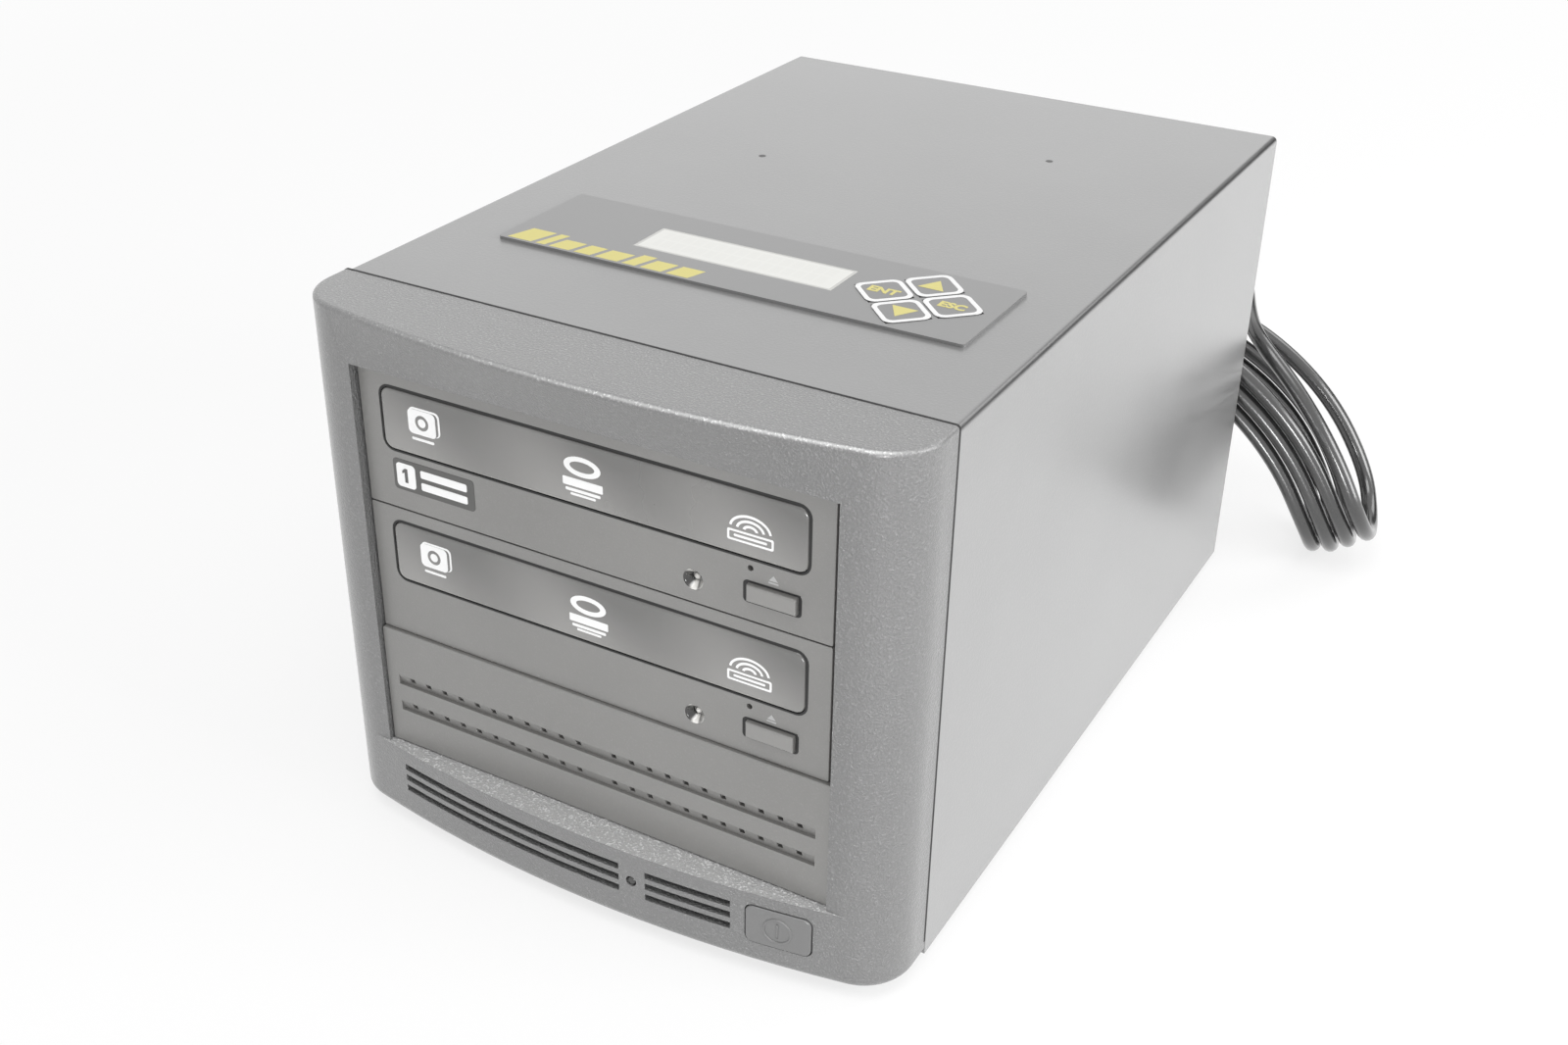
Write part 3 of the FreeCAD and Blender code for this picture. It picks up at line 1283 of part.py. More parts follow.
def make_controller():
    wide = size.controller_width / 2
    plate = box("controller_plate", (-wide, wide), (board_front, board_back), (board_z, board_top))
    parts = [plate]
    chip = size.chip_side / 2
    middle = (board_front + board_back) / 2
    spans = (-chip, chip), (middle - chip, middle + chip), (board_top, board_top + size.chip_height)
    parts.append(box("controller_chip", *spans))
    for i in range(FINS):
        x = -chip + size.heat_sink_pitch * i
        z = (board_top + size.chip_height, board_top + size.chip_height + size.heat_sink_height)
        parts.append(box(f"heat_sink_fin_{i}", (x, x + size.heat_sink_fin), (middle - chip, middle + chip), z))
    for i, x in enumerate(data_sockets):
        reach = size.data_plug_width / 2
        y = (board_back - size.data_plug_length, board_back)
        z = (board_top, board_top + size.data_plug_height)
        parts.append(box(f"controller_socket_{i}", (x - reach, x + reach), y, z))
    for i, (a, b) in enumerate(CORNERS):
        x = (wide - size.standoff_inset * 3) * a
        y = middle + (size.controller_length / 2 - size.standoff_inset * 3) * b
        parts.append(rod(f"capacitor_{i}", size.capacitor_radius, (x, y, board_top), "z", size.capacitor_height))
    keep(carved("controller", parts), "controller_board")
    posts = []
    for i, (a, b) in enumerate(CORNERS):
        x = (wide - size.standoff_inset) * a
        y = middle + (size.controller_length / 2 - size.standoff_inset) * b
        posts.append(rod(f"standoff_{i}", size.standoff_radius, (x, y, base_top), "z", size.standoff_height))
    keep(group("standoff_group", posts), "board_standoffs")


FINS = 6
make_controller()


# Power button, its switch and the power light

def make_power_button():
    body = new_body("power_button")
    reach = size.button_width / 2
    left, right = size.button_x - reach, size.button_x + reach
    middle_y = crown + size.bezel_bulge
    bulge = size.bezel_bulge + size.button_proud
    cap_back = crown + size.button_sag + size.button_depth
    cap = new_sketch(body, "cap_plan", height=button_top - size.button_height)
    radius, centre = float(bulge), Vector(0, float(middle_y), 0)

    def front_at(x):
        return Vector(float(x), centre.y - math.sqrt(radius ** 2 - float(x) ** 2), 0)

    start, end = front_at(left), front_at(right)
    arc = Part.Circle(centre, Vector(0, 0, 1), radius)
    angles = [math.atan2(spot.y - centre.y, spot.x) for spot in (start, end)]
    rear = [Vector(float(x), float(cap_back), 0) for x in (right, left)]
    cap.addGeometry([
        Part.ArcOfCircle(arc, *angles),
        Part.LineSegment(end, rear[0]),
        Part.LineSegment(rear[0], rear[1]),
        Part.LineSegment(rear[1], start),
    ], False)
    constrain(cap, [("Coincident", i, 2, (i + 1) % 4, 1) for i in range(4)])
    constrain(cap, [("Vertical", 1), ("Horizontal", 2), ("Vertical", 3), ("Radius", 0, bulge)])
    constrain(cap, at_point(0, 3, (0, middle_y)))
    constrain(cap, at_point(2, 1, (right, cap_back)) + [("DistanceX", -1, 1, 2, 2, left)])
    pad(body, "cap", cap, size.button_height)

    def corner_edges(box):
        long = box.YLength > float(size.button_depth) / 2
        return long and box.XLength < TOUCH and box.ZLength < TOUCH

    rounded_edges(body, "corners", size.button_corner, corner_edges)
    rear_y = float(cap_back) - TOUCH

    def front_edges(box):
        along_side = box.YLength > float(size.button_depth) / 2 and box.XLength < TOUCH
        return box.YMax < rear_y and not along_side

    rounded_edges(body, "edge", size.button_edge, front_edges)
    flange = new_sketch(body, "flange_outline", "XZ_Plane", -cap_back)
    wide = reach + size.button_flange
    tall = size.button_height / 2 + size.button_flange
    add_rounded(
        flange,
        (size.button_x - wide, size.button_x + wide),
        (button_mid - tall, button_mid + tall),
        size.button_corner,
    )
    pad(body, "flange", flange, size.steel, back=True)
    stem = new_sketch(body, "stem_outline", "XZ_Plane", -cap_back)
    add_circle(stem, (size.button_x, button_mid), size.stem_radius)
    pad(body, "stem", stem, switch_front + size.stem_grip - cap_back, back=True)


def make_power_switch():
    x, z, reach = size.button_x, button_mid, size.switch_width / 2
    rear = switch_front + size.switch_depth
    shell = box("switch_shell", (x - reach, x + reach), (switch_front, rear), (z - reach, z + reach))
    lip = reach + size.switch_lip
    lip_y = (front_plate - size.steel, front_plate)
    flange = box("switch_flange", (x - lip, x + lip), lip_y, (z - lip, z + lip))
    contacts = []
    for i, side in enumerate((1, -1)):
        at = x + size.blade_width * side
        spans = (at - size.blade_thickness / 2, at + size.blade_thickness / 2)
        y = (rear, rear + size.blade_width)
        contacts.append(box(f"switch_contact_{i}", spans, y, (z - size.blade_thickness, z + size.blade_thickness)))
    depth = size.stem_grip + size.button_travel + size.fit
    bore = rod("switch_bore", size.stem_radius + size.slide_fit, (x, switch_front - size.fit, z), "y", depth + size.fit)
    keep(carved("switch", [shell, flange] + contacts, [bore]), "power_switch")


def make_power_light():
    body = new_body("power_light")
    front = crown + size.light_sag
    outline = new_sketch(body, "outline", "XZ_Plane", -front)
    add_circle(outline, (size.light_x, light_z), size.light_radius)
    pad(body, "pipe", outline, size.light_length, back=True)

    def front_edge(box):
        return flat_at(front, box.YMin, box.YMax)

    rounded_edges(body, "dome", size.light_radius / 2, front_edge)


make_power_button()
make_power_switch()
make_power_light()


# Fans. A frame and its rotor are built about the middle of the frame's rear face, air flowing to the back.

def make_fan(label, side, depth, hole):
    bore = side * BORE_SHARE
    hub = side * HUB_SHARE
    hub_plate = size.fan_plate
    reach = side / 2
    body = new_body(f"{label}_frame")
    outline = new_sketch(body, "outline", "XZ_Plane", depth)
    add_rounded(outline, (-reach, reach), (-reach, reach), size.fan_corner)
    add_circle(outline, (0, 0), bore)
    for a, b in CORNERS:
        add_circle(outline, (hole * a, hole * b), size.fan_hole_radius)
    pad(body, "frame", outline, depth, back=True)
    spokes = new_sketch(body, "spoke_outline", "XZ_Plane", hub_plate)
    wide = size.fan_spoke / 2
    end = (bore + reach) / 2
    add_polygon(spokes, [
        (-end, -wide), (-wide, -wide), (-wide, -end), (wide, -end),
        (wide, -wide), (end, -wide), (end, wide), (wide, wide),
        (wide, end), (-wide, end), (-wide, wide), (-end, wide),
    ])
    pad(body, "spokes", spokes, hub_plate, back=True)
    motor = new_sketch(body, "motor_outline", "XZ_Plane", hub_plate)
    add_circle(motor, (0, 0), hub)
    pad(body, "motor", motor, hub_plate, back=True)
    axle = new_sketch(body, "axle_outline", "XZ_Plane", hub_plate)
    add_circle(axle, (0, 0), size.gear_axle)
    pad(body, "axle", axle, depth / 2, back=False)
    return body


def fan_rotor_shape(side, depth):
    """A hub with a bore, and blades that are flat plates set at an angle, trimmed to the bore's circle."""
    tip = float(side * BORE_SHARE - size.fan_tip_gap)
    hub = float(side * HUB_SHARE)
    near = float(-depth + size.fan_tip_gap)
    far = float(-size.fan_plate - size.fit)
    middle = (near + far) / 2
    to_back = Vector(0, 1, 0)
    rotor = Part.makeCylinder(hub, far - near, Vector(0, near, 0), to_back)
    chord = (far - near) * BLADE_CHORD_SHARE
    thickness = float(size.fan_blade)
    reach = tip + thickness
    for number in range(BLADES):
        plate = Part.makeBox(thickness, chord, reach, Vector(-thickness / 2, -chord / 2, 0))
        plate.rotate(Vector(), Vector(0, 0, 1), BLADE_ANGLE)
        plate.translate(Vector(0, middle, 0))
        plate.rotate(Vector(), to_back, FULL_TURN * number / BLADES)
        rotor = rotor.fuse(plate)
    rotor = rotor.common(Part.makeCylinder(tip, far - near, Vector(0, near, 0), to_back))
    bore = Part.makeCylinder(float(size.gear_axle + size.shaft_fit), far - near, Vector(0, near, 0), to_back)
    return rotor.cut(bore).removeSplitter()


BLADES = 7
BLADE_ANGLE = 52
BLADE_CHORD_SHARE = 0.9
FULL_TURN = 360.0


def wire_ring(name, radius, at):
    thing = doc.addObject("Part::Torus", name)
    bind(thing, "Radius1", radius)
    bind(thing, "Radius2", size.wire_radius)
    thing.Placement = FreeCAD.Placement(Vector(), FreeCAD.Rotation(*TURNS["y"]))
    return put(thing, *at)


def make_guard(name, side, at, hole):
    """A wire guard over a fan: rings, two crossed bars behind them, and an eye at each screw."""
    x, y, z = at
    bars_y = y + size.guard_ear / 2
    rings_y = bars_y + size.wire_radius * 2 - size.wire_bite
    wires = []
    for i, share in enumerate(RING_SHARES):
        wires.append(wire_ring(f"{name}_ring_{i}", side * share, (x, rings_y, z)))
    reach = hole * math.sqrt(2)
    for i, slant in enumerate((1, -1)):
        bar = doc.addObject("Part::Cylinder", f"{name}_bar_{i}")
        bind(bar, "Radius", size.wire_radius)
        bind(bar, "Height", reach * 2)
        turn = FreeCAD.Rotation(Vector(0, 1, 0), EIGHTH_TURN * slant)
        bar.Placement = FreeCAD.Placement(Vector(), turn)
        wires.append(put(bar, x - hole * slant, bars_y, z - hole))
    holes = []
    for i, (a, b) in enumerate(CORNERS):
        spot = (x + hole * a, y, z + hole * b)
        wires.append(rod(f"{name}_eye_{i}", size.guard_eye, spot, "y", size.guard_ear))
        low = (spot[0], y - size.fit, spot[2])
        holes.append(rod(f"{name}_eye_bore_{i}", size.screw_radius + size.shaft_fit, low, "y", size.overrun * 2))
    return carved(name, wires, holes)


RING_SHARES = (0.15, 0.24, 0.33, 0.42)


def make_fans():
    frame = make_fan("rear_fan", size.fan_side, size.fan_depth, size.fan_hole)
    put(frame, size.fan_x, rear_front, fan_z)
    rotor = shaped("rear_fan_rotor", fan_rotor_shape(size.fan_side, size.fan_depth))
    put(rotor, size.fan_x, rear_front, fan_z)
    inside = rear_front - size.psu_sheet
    frame = make_fan("psu_fan", size.psu_fan_side, size.psu_fan_depth, size.psu_fan_hole)
    put(frame, size.psu_fan_x, inside, psu_z)
    rotor = shaped("psu_fan_rotor", fan_rotor_shape(size.psu_fan_side, size.psu_fan_depth))
    put(rotor, size.psu_fan_x, inside, psu_z)
    guards = [
        make_guard("rear_guard", size.fan_side, (size.fan_x, rear_face, fan_z), size.fan_hole),
        make_guard("psu_guard", size.psu_fan_side, (size.psu_fan_x, rear_front, psu_z), size.psu_fan_hole),
    ]
    keep(group("guard_group", guards), "fan_guards")


# Power supply

def make_psu():
    x, z = size.psu_width / 2, size.psu_height / 2
    near = rear_front - size.psu_length
    skin = size.psu_sheet
    shell = box("psu_block", (-x, x), (near, rear_front), (psu_z - z, psu_z + z))
    inner_z = (psu_z - z + skin, psu_z + z - skin)
    cuts = [box("psu_hollow", (-x + skin, x - skin), (near + skin, rear_front - skin), inner_z)]
    start = rear_front - size.overrun / 2
    bore = size.psu_fan_side * BORE_SHARE
    cuts.append(rod("psu_fan_opening", bore, (size.psu_fan_x, start, psu_z), "y", size.overrun))
    for i, (sx, sz) in enumerate(PSU_FAN_SCREWS):
        cuts.append(rod(f"psu_guard_hole_{i}", size.screw_radius + size.shaft_fit, (sx, start, sz), "y", size.overrun))
    wide, tall = size.inlet_width / 2, size.inlet_height / 2
    span = (size.inlet_x - wide - size.shaft_fit, size.inlet_x + wide + size.shaft_fit)
    inlet_z = (psu_z - tall - size.shaft_fit, psu_z + tall + size.shaft_fit)
    cuts.append(box("psu_inlet_opening", span, (start, rear_front + size.overrun), inlet_z))
    for i, (sx, sz) in enumerate(PSU_SCREWS + TOP_SCREWS):
        cuts.append(rod(f"psu_screw_bore_{i}", size.screw_radius + size.shaft_fit, (sx, start, sz), "y", size.overrun))
    for i in range(PSU_VENTS):
        low = psu_z - z + size.vent_count_pitch * (i + 1)
        y = (near - size.overrun / 2, near + size.overrun / 2)
        cuts.append(box(f"psu_vent_{i}", (-x / 2, x / 2), y, (low, low + size.vent_slot_height)))
    keep(carved("psu", [shell], cuts), "psu_case")
    floor = psu_z - z + skin
    plate_z = (floor + size.psu_board_rise, floor + size.psu_board_rise + size.board)
    edge = x - skin - size.psu_board_gap
    far = rear_front - skin - size.psu_fan_depth - size.psu_board_gap
    plate = box("psu_plate", (-edge, edge), (near + skin + size.psu_board_gap, far), plate_z)
    parts = [plate]
    top = plate_z[1]
    block = size.psu_block / 2
    middle = (near + far) / 2
    parts.append(box("psu_transformer", (-block, block), (middle - block, middle + block), (top, top + size.psu_block)))
    for i, side in enumerate((1, -1)):
        at = (edge - size.psu_block) * side
        parts.append(rod(f"psu_capacitor_{i}", size.psu_block / 4, (at, middle, top), "z", size.psu_block))
        fin = in_order(at - size.psu_block / 3 * side, at - (size.psu_block / 3 + size.blade_thickness) * side)
        parts.append(box(f"psu_fin_{i}", fin, (middle - block, middle + block), (top, top + size.psu_block)))
    for i, (a, b) in enumerate(CORNERS):
        y = middle + (size.psu_length / 3) * b
        spot = ((edge - size.standoff_radius) * a, y, floor)
        parts.append(rod(f"psu_post_{i}", size.standoff_radius, spot, "z", size.psu_board_rise))
    keep(carved("psu_board_parts", parts), "psu_board")


PSU_VENTS = 7
inlet_back = rear_front + size.inlet_flange


def make_inlet():
    x, z = size.inlet_x, psu_z
    wide, tall = size.inlet_width / 2, size.inlet_height / 2
    inner = rear_front - size.inlet_depth
    shell = box("inlet_shell", (x - wide, x + wide), (inner, rear_front), (z - tall, z + tall))
    rim = size.inlet_flange
    flange_x = (x - wide - rim, x + wide + rim)
    flange = box("inlet_rim", flange_x, (rear_front, inlet_back), (z - tall - rim, z + tall + rim))
    wall = size.inlet_wall
    well_y = (inlet_back - size.inlet_well, inlet_back + size.overrun)
    well = box("inlet_well", (x - wide + wall, x + wide - wall), well_y, (z - tall + wall, z + tall - wall))
    body = carved("inlet", [shell, flange], [well])
    parts = [body]
    for i, (dx, dz) in enumerate(BLADE_WAYS):
        at_x, at_z = x + size.blade_pitch * dx, z + size.blade_lift * dz
        spans = (at_x - size.blade_thickness / 2, at_x + size.blade_thickness / 2)
        y = (well_y[0], well_y[0] + size.blade_length)
        parts.append(box(f"inlet_blade_{i}", spans, y, (at_z - size.blade_width / 2, at_z + size.blade_width / 2)))
    keep(fused("inlet_with_blades", parts), "mains_inlet")


BLADE_WAYS = ((-1, -1), (0, 1), (1, -1))
make_psu()
make_inlet()
make_fans()


# Optical drives. Each piece is built in the drive's own frame: x across from its middle, y back from its
# face, z down from its top.

shell_half = size.shell_width / 2
shell_top = -(size.face_height - size.shell_height) / 2
shell_low = shell_top - size.shell_height
shell_floor = shell_low + size.shell_sheet
shell_end = size.face_thickness + size.shell_length
door_back = size.door_thickness - size.door_proud
tray_top = -size.tray_drop
tray_low = tray_top - size.tray_thickness
tray_half = size.tray_width / 2
tray_end = door_back + size.tray_length
deck_floor = -size.deck_drop
deck_half = tray_half + size.deck_wall_gap
deck_end = size.deck_front + size.deck_length
eject_z = -size.eject_drop
lamp_z = -size.lamp_drop
rack_low = tray_low - size.rack_depth
TEETH = 16
gear_x = size.rack_x + size.gear_module * TEETH / 2
gear_top = tray_low - size.slide_fit
post_low = deck_floor
post_high = -size.rod_drop + size.post_side / 2
rod_places = (-size.rod_x, size.rod_x)


def place_drive(thing, number):
    return put(thing, size.drive_x, face, drive_tops[number])


def make_drive_shell(label):
    outer = box(f"{label}_block", (-shell_half, shell_half), (size.face_thickness, shell_end), (shell_low, shell_top))
    skin = size.shell_sheet
    inner_y = (size.face_thickness - size.overrun, shell_end - skin)
    cuts = [box(f"{label}_hollow", (-shell_half + skin, shell_half - skin), inner_y, (shell_floor, shell_top - skin))]
    z = -size.face_height + size.drive_screw_rise
    for i, side in enumerate((1, -1)):
        for j, y in enumerate((size.drive_screw_front, size.drive_screw_front + size.drive_screw_pitch)):
            start = (shell_half * side - size.overrun / 2, y, z)
            cuts.append(rod(f"{label}_bore_{i}_{j}", size.screw_radius + size.shaft_fit, start, "x", size.overrun))
    wide = size.data_plug_width / 2 + size.fit
    socket_x = (size.data_x - wide, size.power_x + wide)
    socket_y = (shell_end - size.overrun / 2, shell_end + size.overrun / 2)
    high = shell_floor + size.socket_height + size.fit
    cuts.append(box(f"{label}_socket_opening", socket_x, socket_y, (shell_floor, high)))
    return carved(label, [outer], cuts)


def make_faceplate(label):
    body = doc.addObject("PartDesign::Body", f"{label}_moulding")
    outline = new_sketch(body, "outline", "XZ_Plane")
    wide = size.face_width / 2
    add_rounded(outline, (-wide, wide), (-size.face_height, 0), size.face_corner)
    pad(body, "plate", outline, size.face_thickness, back=True)

    def front_edges(box):
        return flat_at(0, box.YMin, box.YMax)

    rounded_edges(body, "edge", size.face_edge, front_edges)
    openings = new_sketch(body, "openings", "XZ_Plane", size.overrun)
    reach = size.door_width / 2 + size.door_gap
    high, low = -size.door_drop + size.door_gap, -size.door_drop - size.door_height - size.door_gap
    add_rounded(openings, (-reach, reach), (low, high), size.door_corner + size.door_gap)
    eject = [(centre - width / 2 - size.eject_gap, centre + width / 2 + size.eject_gap) for centre, width in (
        (size.eject_x, size.eject_width), (eject_z, size.eject_height),
    )]
    add_rectangle(openings, *eject)
    add_circle(openings, (size.lamp_x, lamp_z), size.lamp_radius + size.shaft_fit)
    add_circle(openings, (size.pin_x, -size.pin_drop), size.pin_radius)
    pocket(body, "cut_outs", openings, size.face_thickness + size.overrun * 2)
    start = (size.lamp_x, 0, lamp_z)
    well = rod(f"{label}_well", size.lamp_well, start, "y", size.lamp_well_depth, size.lamp_radius + size.fit)
    return carved(label, [body], [well])


def make_door(label):
    body = doc.addObject("PartDesign::Body", label)
    outline = new_sketch(body, "outline", "XZ_Plane", size.door_proud)
    wide = size.door_width / 2
    add_rounded(outline, (-wide, wide), (-size.door_drop - size.door_height, -size.door_drop), size.door_corner)
    pad(body, "plate", outline, size.door_thickness, back=True)

    def front_edges(box):
        return flat_at(-size.door_proud, box.YMin, box.YMax)

    rounded_edges(body, "edge", size.door_edge, front_edges)
    return body


def rack_shape():
    """A straight bar with sloped teeth; the gap at the pinion's axle is centred on it at rest."""
    pitch = math.pi * float(size.gear_module)
    addendum = float(size.gear_module) * ADDENDUM_SHARE
    dedendum = float(size.gear_module) * DEDENDUM_SHARE
    line, middle = float(size.rack_x), float(size.gear_setback)
    slope = math.tan(math.radians(PRESSURE_ANGLE))
    half_tooth = pitch / 4 - float(size.backlash) / 2
    near, far = float(door_back), float(tray_end)
    root = line - dedendum
    points = [(root - float(size.rack_web), near), (root, near)]
    count = int((far - middle) / pitch)
    start = -int((middle - near) / pitch)
    for number in range(start, count):
        y = middle + pitch * (number + 0.5)
        foot, tip = half_tooth + dedendum * slope, half_tooth - addendum * slope
        points += [(root, y - foot), (line + addendum, y - tip), (line + addendum, y + tip), (root, y + foot)]
    points += [(root, far), (root - float(size.rack_web), far)]
    spots = [Vector(x, y, float(rack_low)) for x, y in points]
    outline = Part.makePolygon(spots + spots[:1])
    return Part.Face(outline).extrude(Vector(0, 0, float(size.rack_depth)))


ADDENDUM_SHARE = 0.8
DEDENDUM_SHARE = 1.05
PRESSURE_ANGLE = 20


def pinion_shape():
    """A spur gear with involute flanks; one tooth points at the rack."""
    teeth, module = TEETH, float(size.gear_module)
    pitch_radius = module * teeth / 2
    base_radius = pitch_radius * math.cos(math.radians(PRESSURE_ANGLE))
    tip = pitch_radius + module * ADDENDUM_SHARE
    root = pitch_radius - module * DEDENDUM_SHARE

    def involute(radius):
        angle = math.acos(min(1.0, base_radius / radius))
        return math.tan(angle) - angle

    pitch_half = math.pi / 2 / teeth - float(size.backlash) / 4 / pitch_radius + involute(pitch_radius)
    radii = [max(root, base_radius) + (tip - max(root, base_radius)) * i / FLANK_STEPS for i in range(FLANK_STEPS + 1)]
    points = []
    for tooth in range(teeth):
        middle = math.pi + 2 * math.pi * tooth / teeth
        flank = [(radius, pitch_half - involute(radius)) for radius in radii]
        foot = [(root, pitch_half - involute(max(root, base_radius)))]
        rising = [(r, middle - a) for r, a in foot + flank]
        falling = [(r, middle + a) for r, a in reversed(foot + flank)]
        points += [Vector(r * math.cos(a), r * math.sin(a), 0) for r, a in rising + falling]
    height = float(size.rack_depth)
    gear = Part.Face(Part.makePolygon(points + points[:1])).extrude(Vector(0, 0, height))
    return gear.cut(Part.makeCylinder(float(size.gear_axle + size.shaft_fit), height))


FLANK_STEPS = 4


def make_tray(label):
    body = doc.addObject("PartDesign::Body", f"{label}_moulding")
    outline = new_sketch(body, "outline", height=tray_low)
    add_rectangle(outline, (-tray_half, tray_half), (door_back, tray_end))
    pad(body, "plate", outline, size.tray_thickness)
    rear_y = float(tray_end)

    def corner_edges(box):
        return box.ZLength > float(size.tray_thickness) / 2 and abs(box.YMin - rear_y) < TOUCH

    rounded_edges(body, "corners", size.tray_corner, corner_edges)
    middle = (0, size.disc_setback)
    above = tray_top + size.overrun
    for name, radius, depth in (
        ("disc_well", size.disc_radius, size.disc_depth),
        ("small_disc_well", size.small_disc_radius, size.disc_depth + size.small_disc_depth),
    ):
        well = new_sketch(body, f"{name}_outline", height=above)
        add_circle(well, middle, radius)
        pocket(body, name, well, depth + size.overrun)
    slot = new_sketch(body, "slot_outline", height=above)
    ends = (size.disc_setback - size.slot_front, size.disc_setback + size.slot_back)
    add_rounded(slot, (-size.slot_half, size.slot_half), ends, size.slot_corner)
    pocket(body, "slot", slot, size.tray_thickness + size.overrun * 2)
    rack = doc.addObject("Part::Feature", f"{label}_rack")
    rack.Shape = rack_shape()
    return fused(f"{label}_with_rack", [body, rack])


def make_deck(label):
    sheet = size.deck_sheet
    floor_z = (deck_floor - sheet, deck_floor)
    ends = (size.deck_front, deck_end)
    parts = [box(f"{label}_floor", (-deck_half - sheet, deck_half + sheet), ends, floor_z)]
    wall_z = (deck_floor - sheet, tray_top + size.slide_fit + size.tab_thickness)
    rail_z = (tray_low - size.slide_fit - size.rail_height, tray_low - size.slide_fit)
    tab_z = (tray_top + size.slide_fit, wall_z[1])
    for i, side in enumerate((1, -1)):
        wall = in_order(deck_half * side, (deck_half + sheet) * side)
        parts.append(box(f"{label}_wall_{i}", wall, ends, wall_z))
        rail = in_order((deck_half - size.rail_width) * side, deck_half * side)
        parts.append(box(f"{label}_rail_{i}", rail, ends, rail_z))
        for j, y in enumerate((size.deck_front, deck_end - size.tab_length - size.tray_corner)):
            parts.append(box(f"{label}_tab_{i}_{j}", rail, (y, y + size.tab_length), tab_z))
    for i, x in enumerate((-deck_half, deck_half - size.deck_foot_side)):
        for j, y in enumerate((size.deck_front, deck_end - size.deck_foot_side)):
            spans = (x, x + size.deck_foot_side), (y, y + size.deck_foot_side), (shell_floor, floor_z[0])
            parts.append(box(f"{label}_foot_{i}_{j}", *spans))
    for i, x in enumerate(rod_places):
        for j, y in enumerate((size.front_post, size.rear_post)):
            spans = centred(x, size.post_side), (y, y + size.post_depth), (post_low, post_high)
            parts.append(box(f"{label}_post_{i}_{j}", *spans))
    motor = (0, size.disc_setback, deck_floor)
    parts.append(rod(f"{label}_motor", size.motor_radius, motor, "z", size.deck_drop - size.motor_top_drop))
    gear_seat = (gear_x, size.gear_setback, deck_floor)
    gear_low = gear_top - size.rack_depth
    boss_height = gear_low - size.fit - deck_floor
    parts.append(rod(f"{label}_gear_boss", size.gear_bore_boss, gear_seat, "z", boss_height))
    parts.append(rod(f"{label}_axle", size.gear_axle, gear_seat, "z", gear_top - deck_floor))
    pit_y = (size.front_post + size.post_depth * 2, size.rear_post - size.post_depth)
    cuts = [box(f"{label}_pit", (-size.pit_half, size.pit_half), pit_y, (floor_z[0] - size.fit, deck_floor + size.fit))]
    spindle_low = -size.table_drop - size.table_thickness - size.spindle_length
    bore = (0, size.disc_setback, spindle_low - size.fit)
    cuts.append(rod(f"{label}_spindle_bore", size.spindle_radius + size.shaft_fit, bore, "z", size.deck_drop))
    for i, x in enumerate(rod_places):
        start = (x, size.front_post - size.fit, -size.rod_drop)
        length = size.rear_post + size.post_depth - size.front_post + size.fit * 2
        cuts.append(rod(f"{label}_rod_bore_{i}", size.rod_radius + size.shaft_fit, start, "y", length))
    return carved(label, parts, cuts)


def make_turntable(label):
    top = -size.table_drop
    low = top - size.table_thickness
    at = (0, size.disc_setback)
    return fused(f"{label}_pieces", [
        rod(f"{label}_disc", size.table_radius, (*at, low), "z", size.table_thickness),
        rod(f"{label}_hub", size.hub_radius, (*at, top), "z", size.hub_height, size.hub_radius - size.hub_height),
        rod(f"{label}_shaft", size.spindle_radius, (*at, low - size.spindle_length), "z", size.spindle_length),
    ])


def make_sled(label):
    start = size.front_post + size.post_depth + size.sled_gap
    wide = size.rod_x + size.rod_radius + size.deck_sheet
    z = centred(-size.rod_drop, size.sled_height)
    block = box(f"{label}_block", (-wide, wide), (start, start + size.sled_length), z)
    middle = start + size.sled_length / 2
    lens = rod(f"{label}_lens", size.lens_radius, (0, middle, z[1]), "z", size.lens_height)
    cuts = []
    for i, x in enumerate(rod_places):
        at = (x, start - size.fit, -size.rod_drop)
        bore = size.rod_radius + size.shaft_fit
        cuts.append(rod(f"{label}_bore_{i}", bore, at, "y", size.sled_length + size.fit * 2))
    return carved(label, [block, lens], cuts)


def make_eject_button(label):
    cap_end = size.face_thickness + size.fit
    y = (-size.eject_proud, cap_end)
    cap = box(f"{label}_cap", centred(size.eject_x, size.eject_width), y, centred(eject_z, size.eject_height))

    def front(box):
        return flat_at(-size.eject_proud, box.YMin, box.YMax)

    edges = softened(f"{label}_round", cap, size.eject_round, front)
    wide, tall = size.eject_width + size.eject_flange * 2, size.eject_height + size.eject_flange * 2
    flange_y = (cap_end, cap_end + size.eject_flange)
    flange = box(f"{label}_flange", centred(size.eject_x, wide), flange_y, centred(eject_z, tall))
    start = (size.eject_x, flange_y[1], eject_z)
    stem = rod(f"{label}_stem", size.eject_stem_radius, start, "y", size.eject_stem_length)
    return fused(f"{label}_pieces", [edges, flange, stem])


def make_lamp(label):
    start = (size.lamp_x, size.lamp_well_depth - size.fit, lamp_z)
    return group(f"{label}_pieces", [rod(label, size.lamp_radius, start, "y", size.lamp_length)])


def make_gear(label):
    thing = doc.addObject("Part::Feature", label)
    thing.Shape = pinion_shape()
    return thing


DRIVE_PIECES = {
    "chassis": make_drive_shell,
    "faceplate": make_faceplate,
    "tray": make_tray,
    "tray_front": make_door,
    "deck": make_deck,
    "turntable": make_turntable,
    "sled": make_sled,
    "eject_button": make_eject_button,
    "lamp": make_lamp,
}


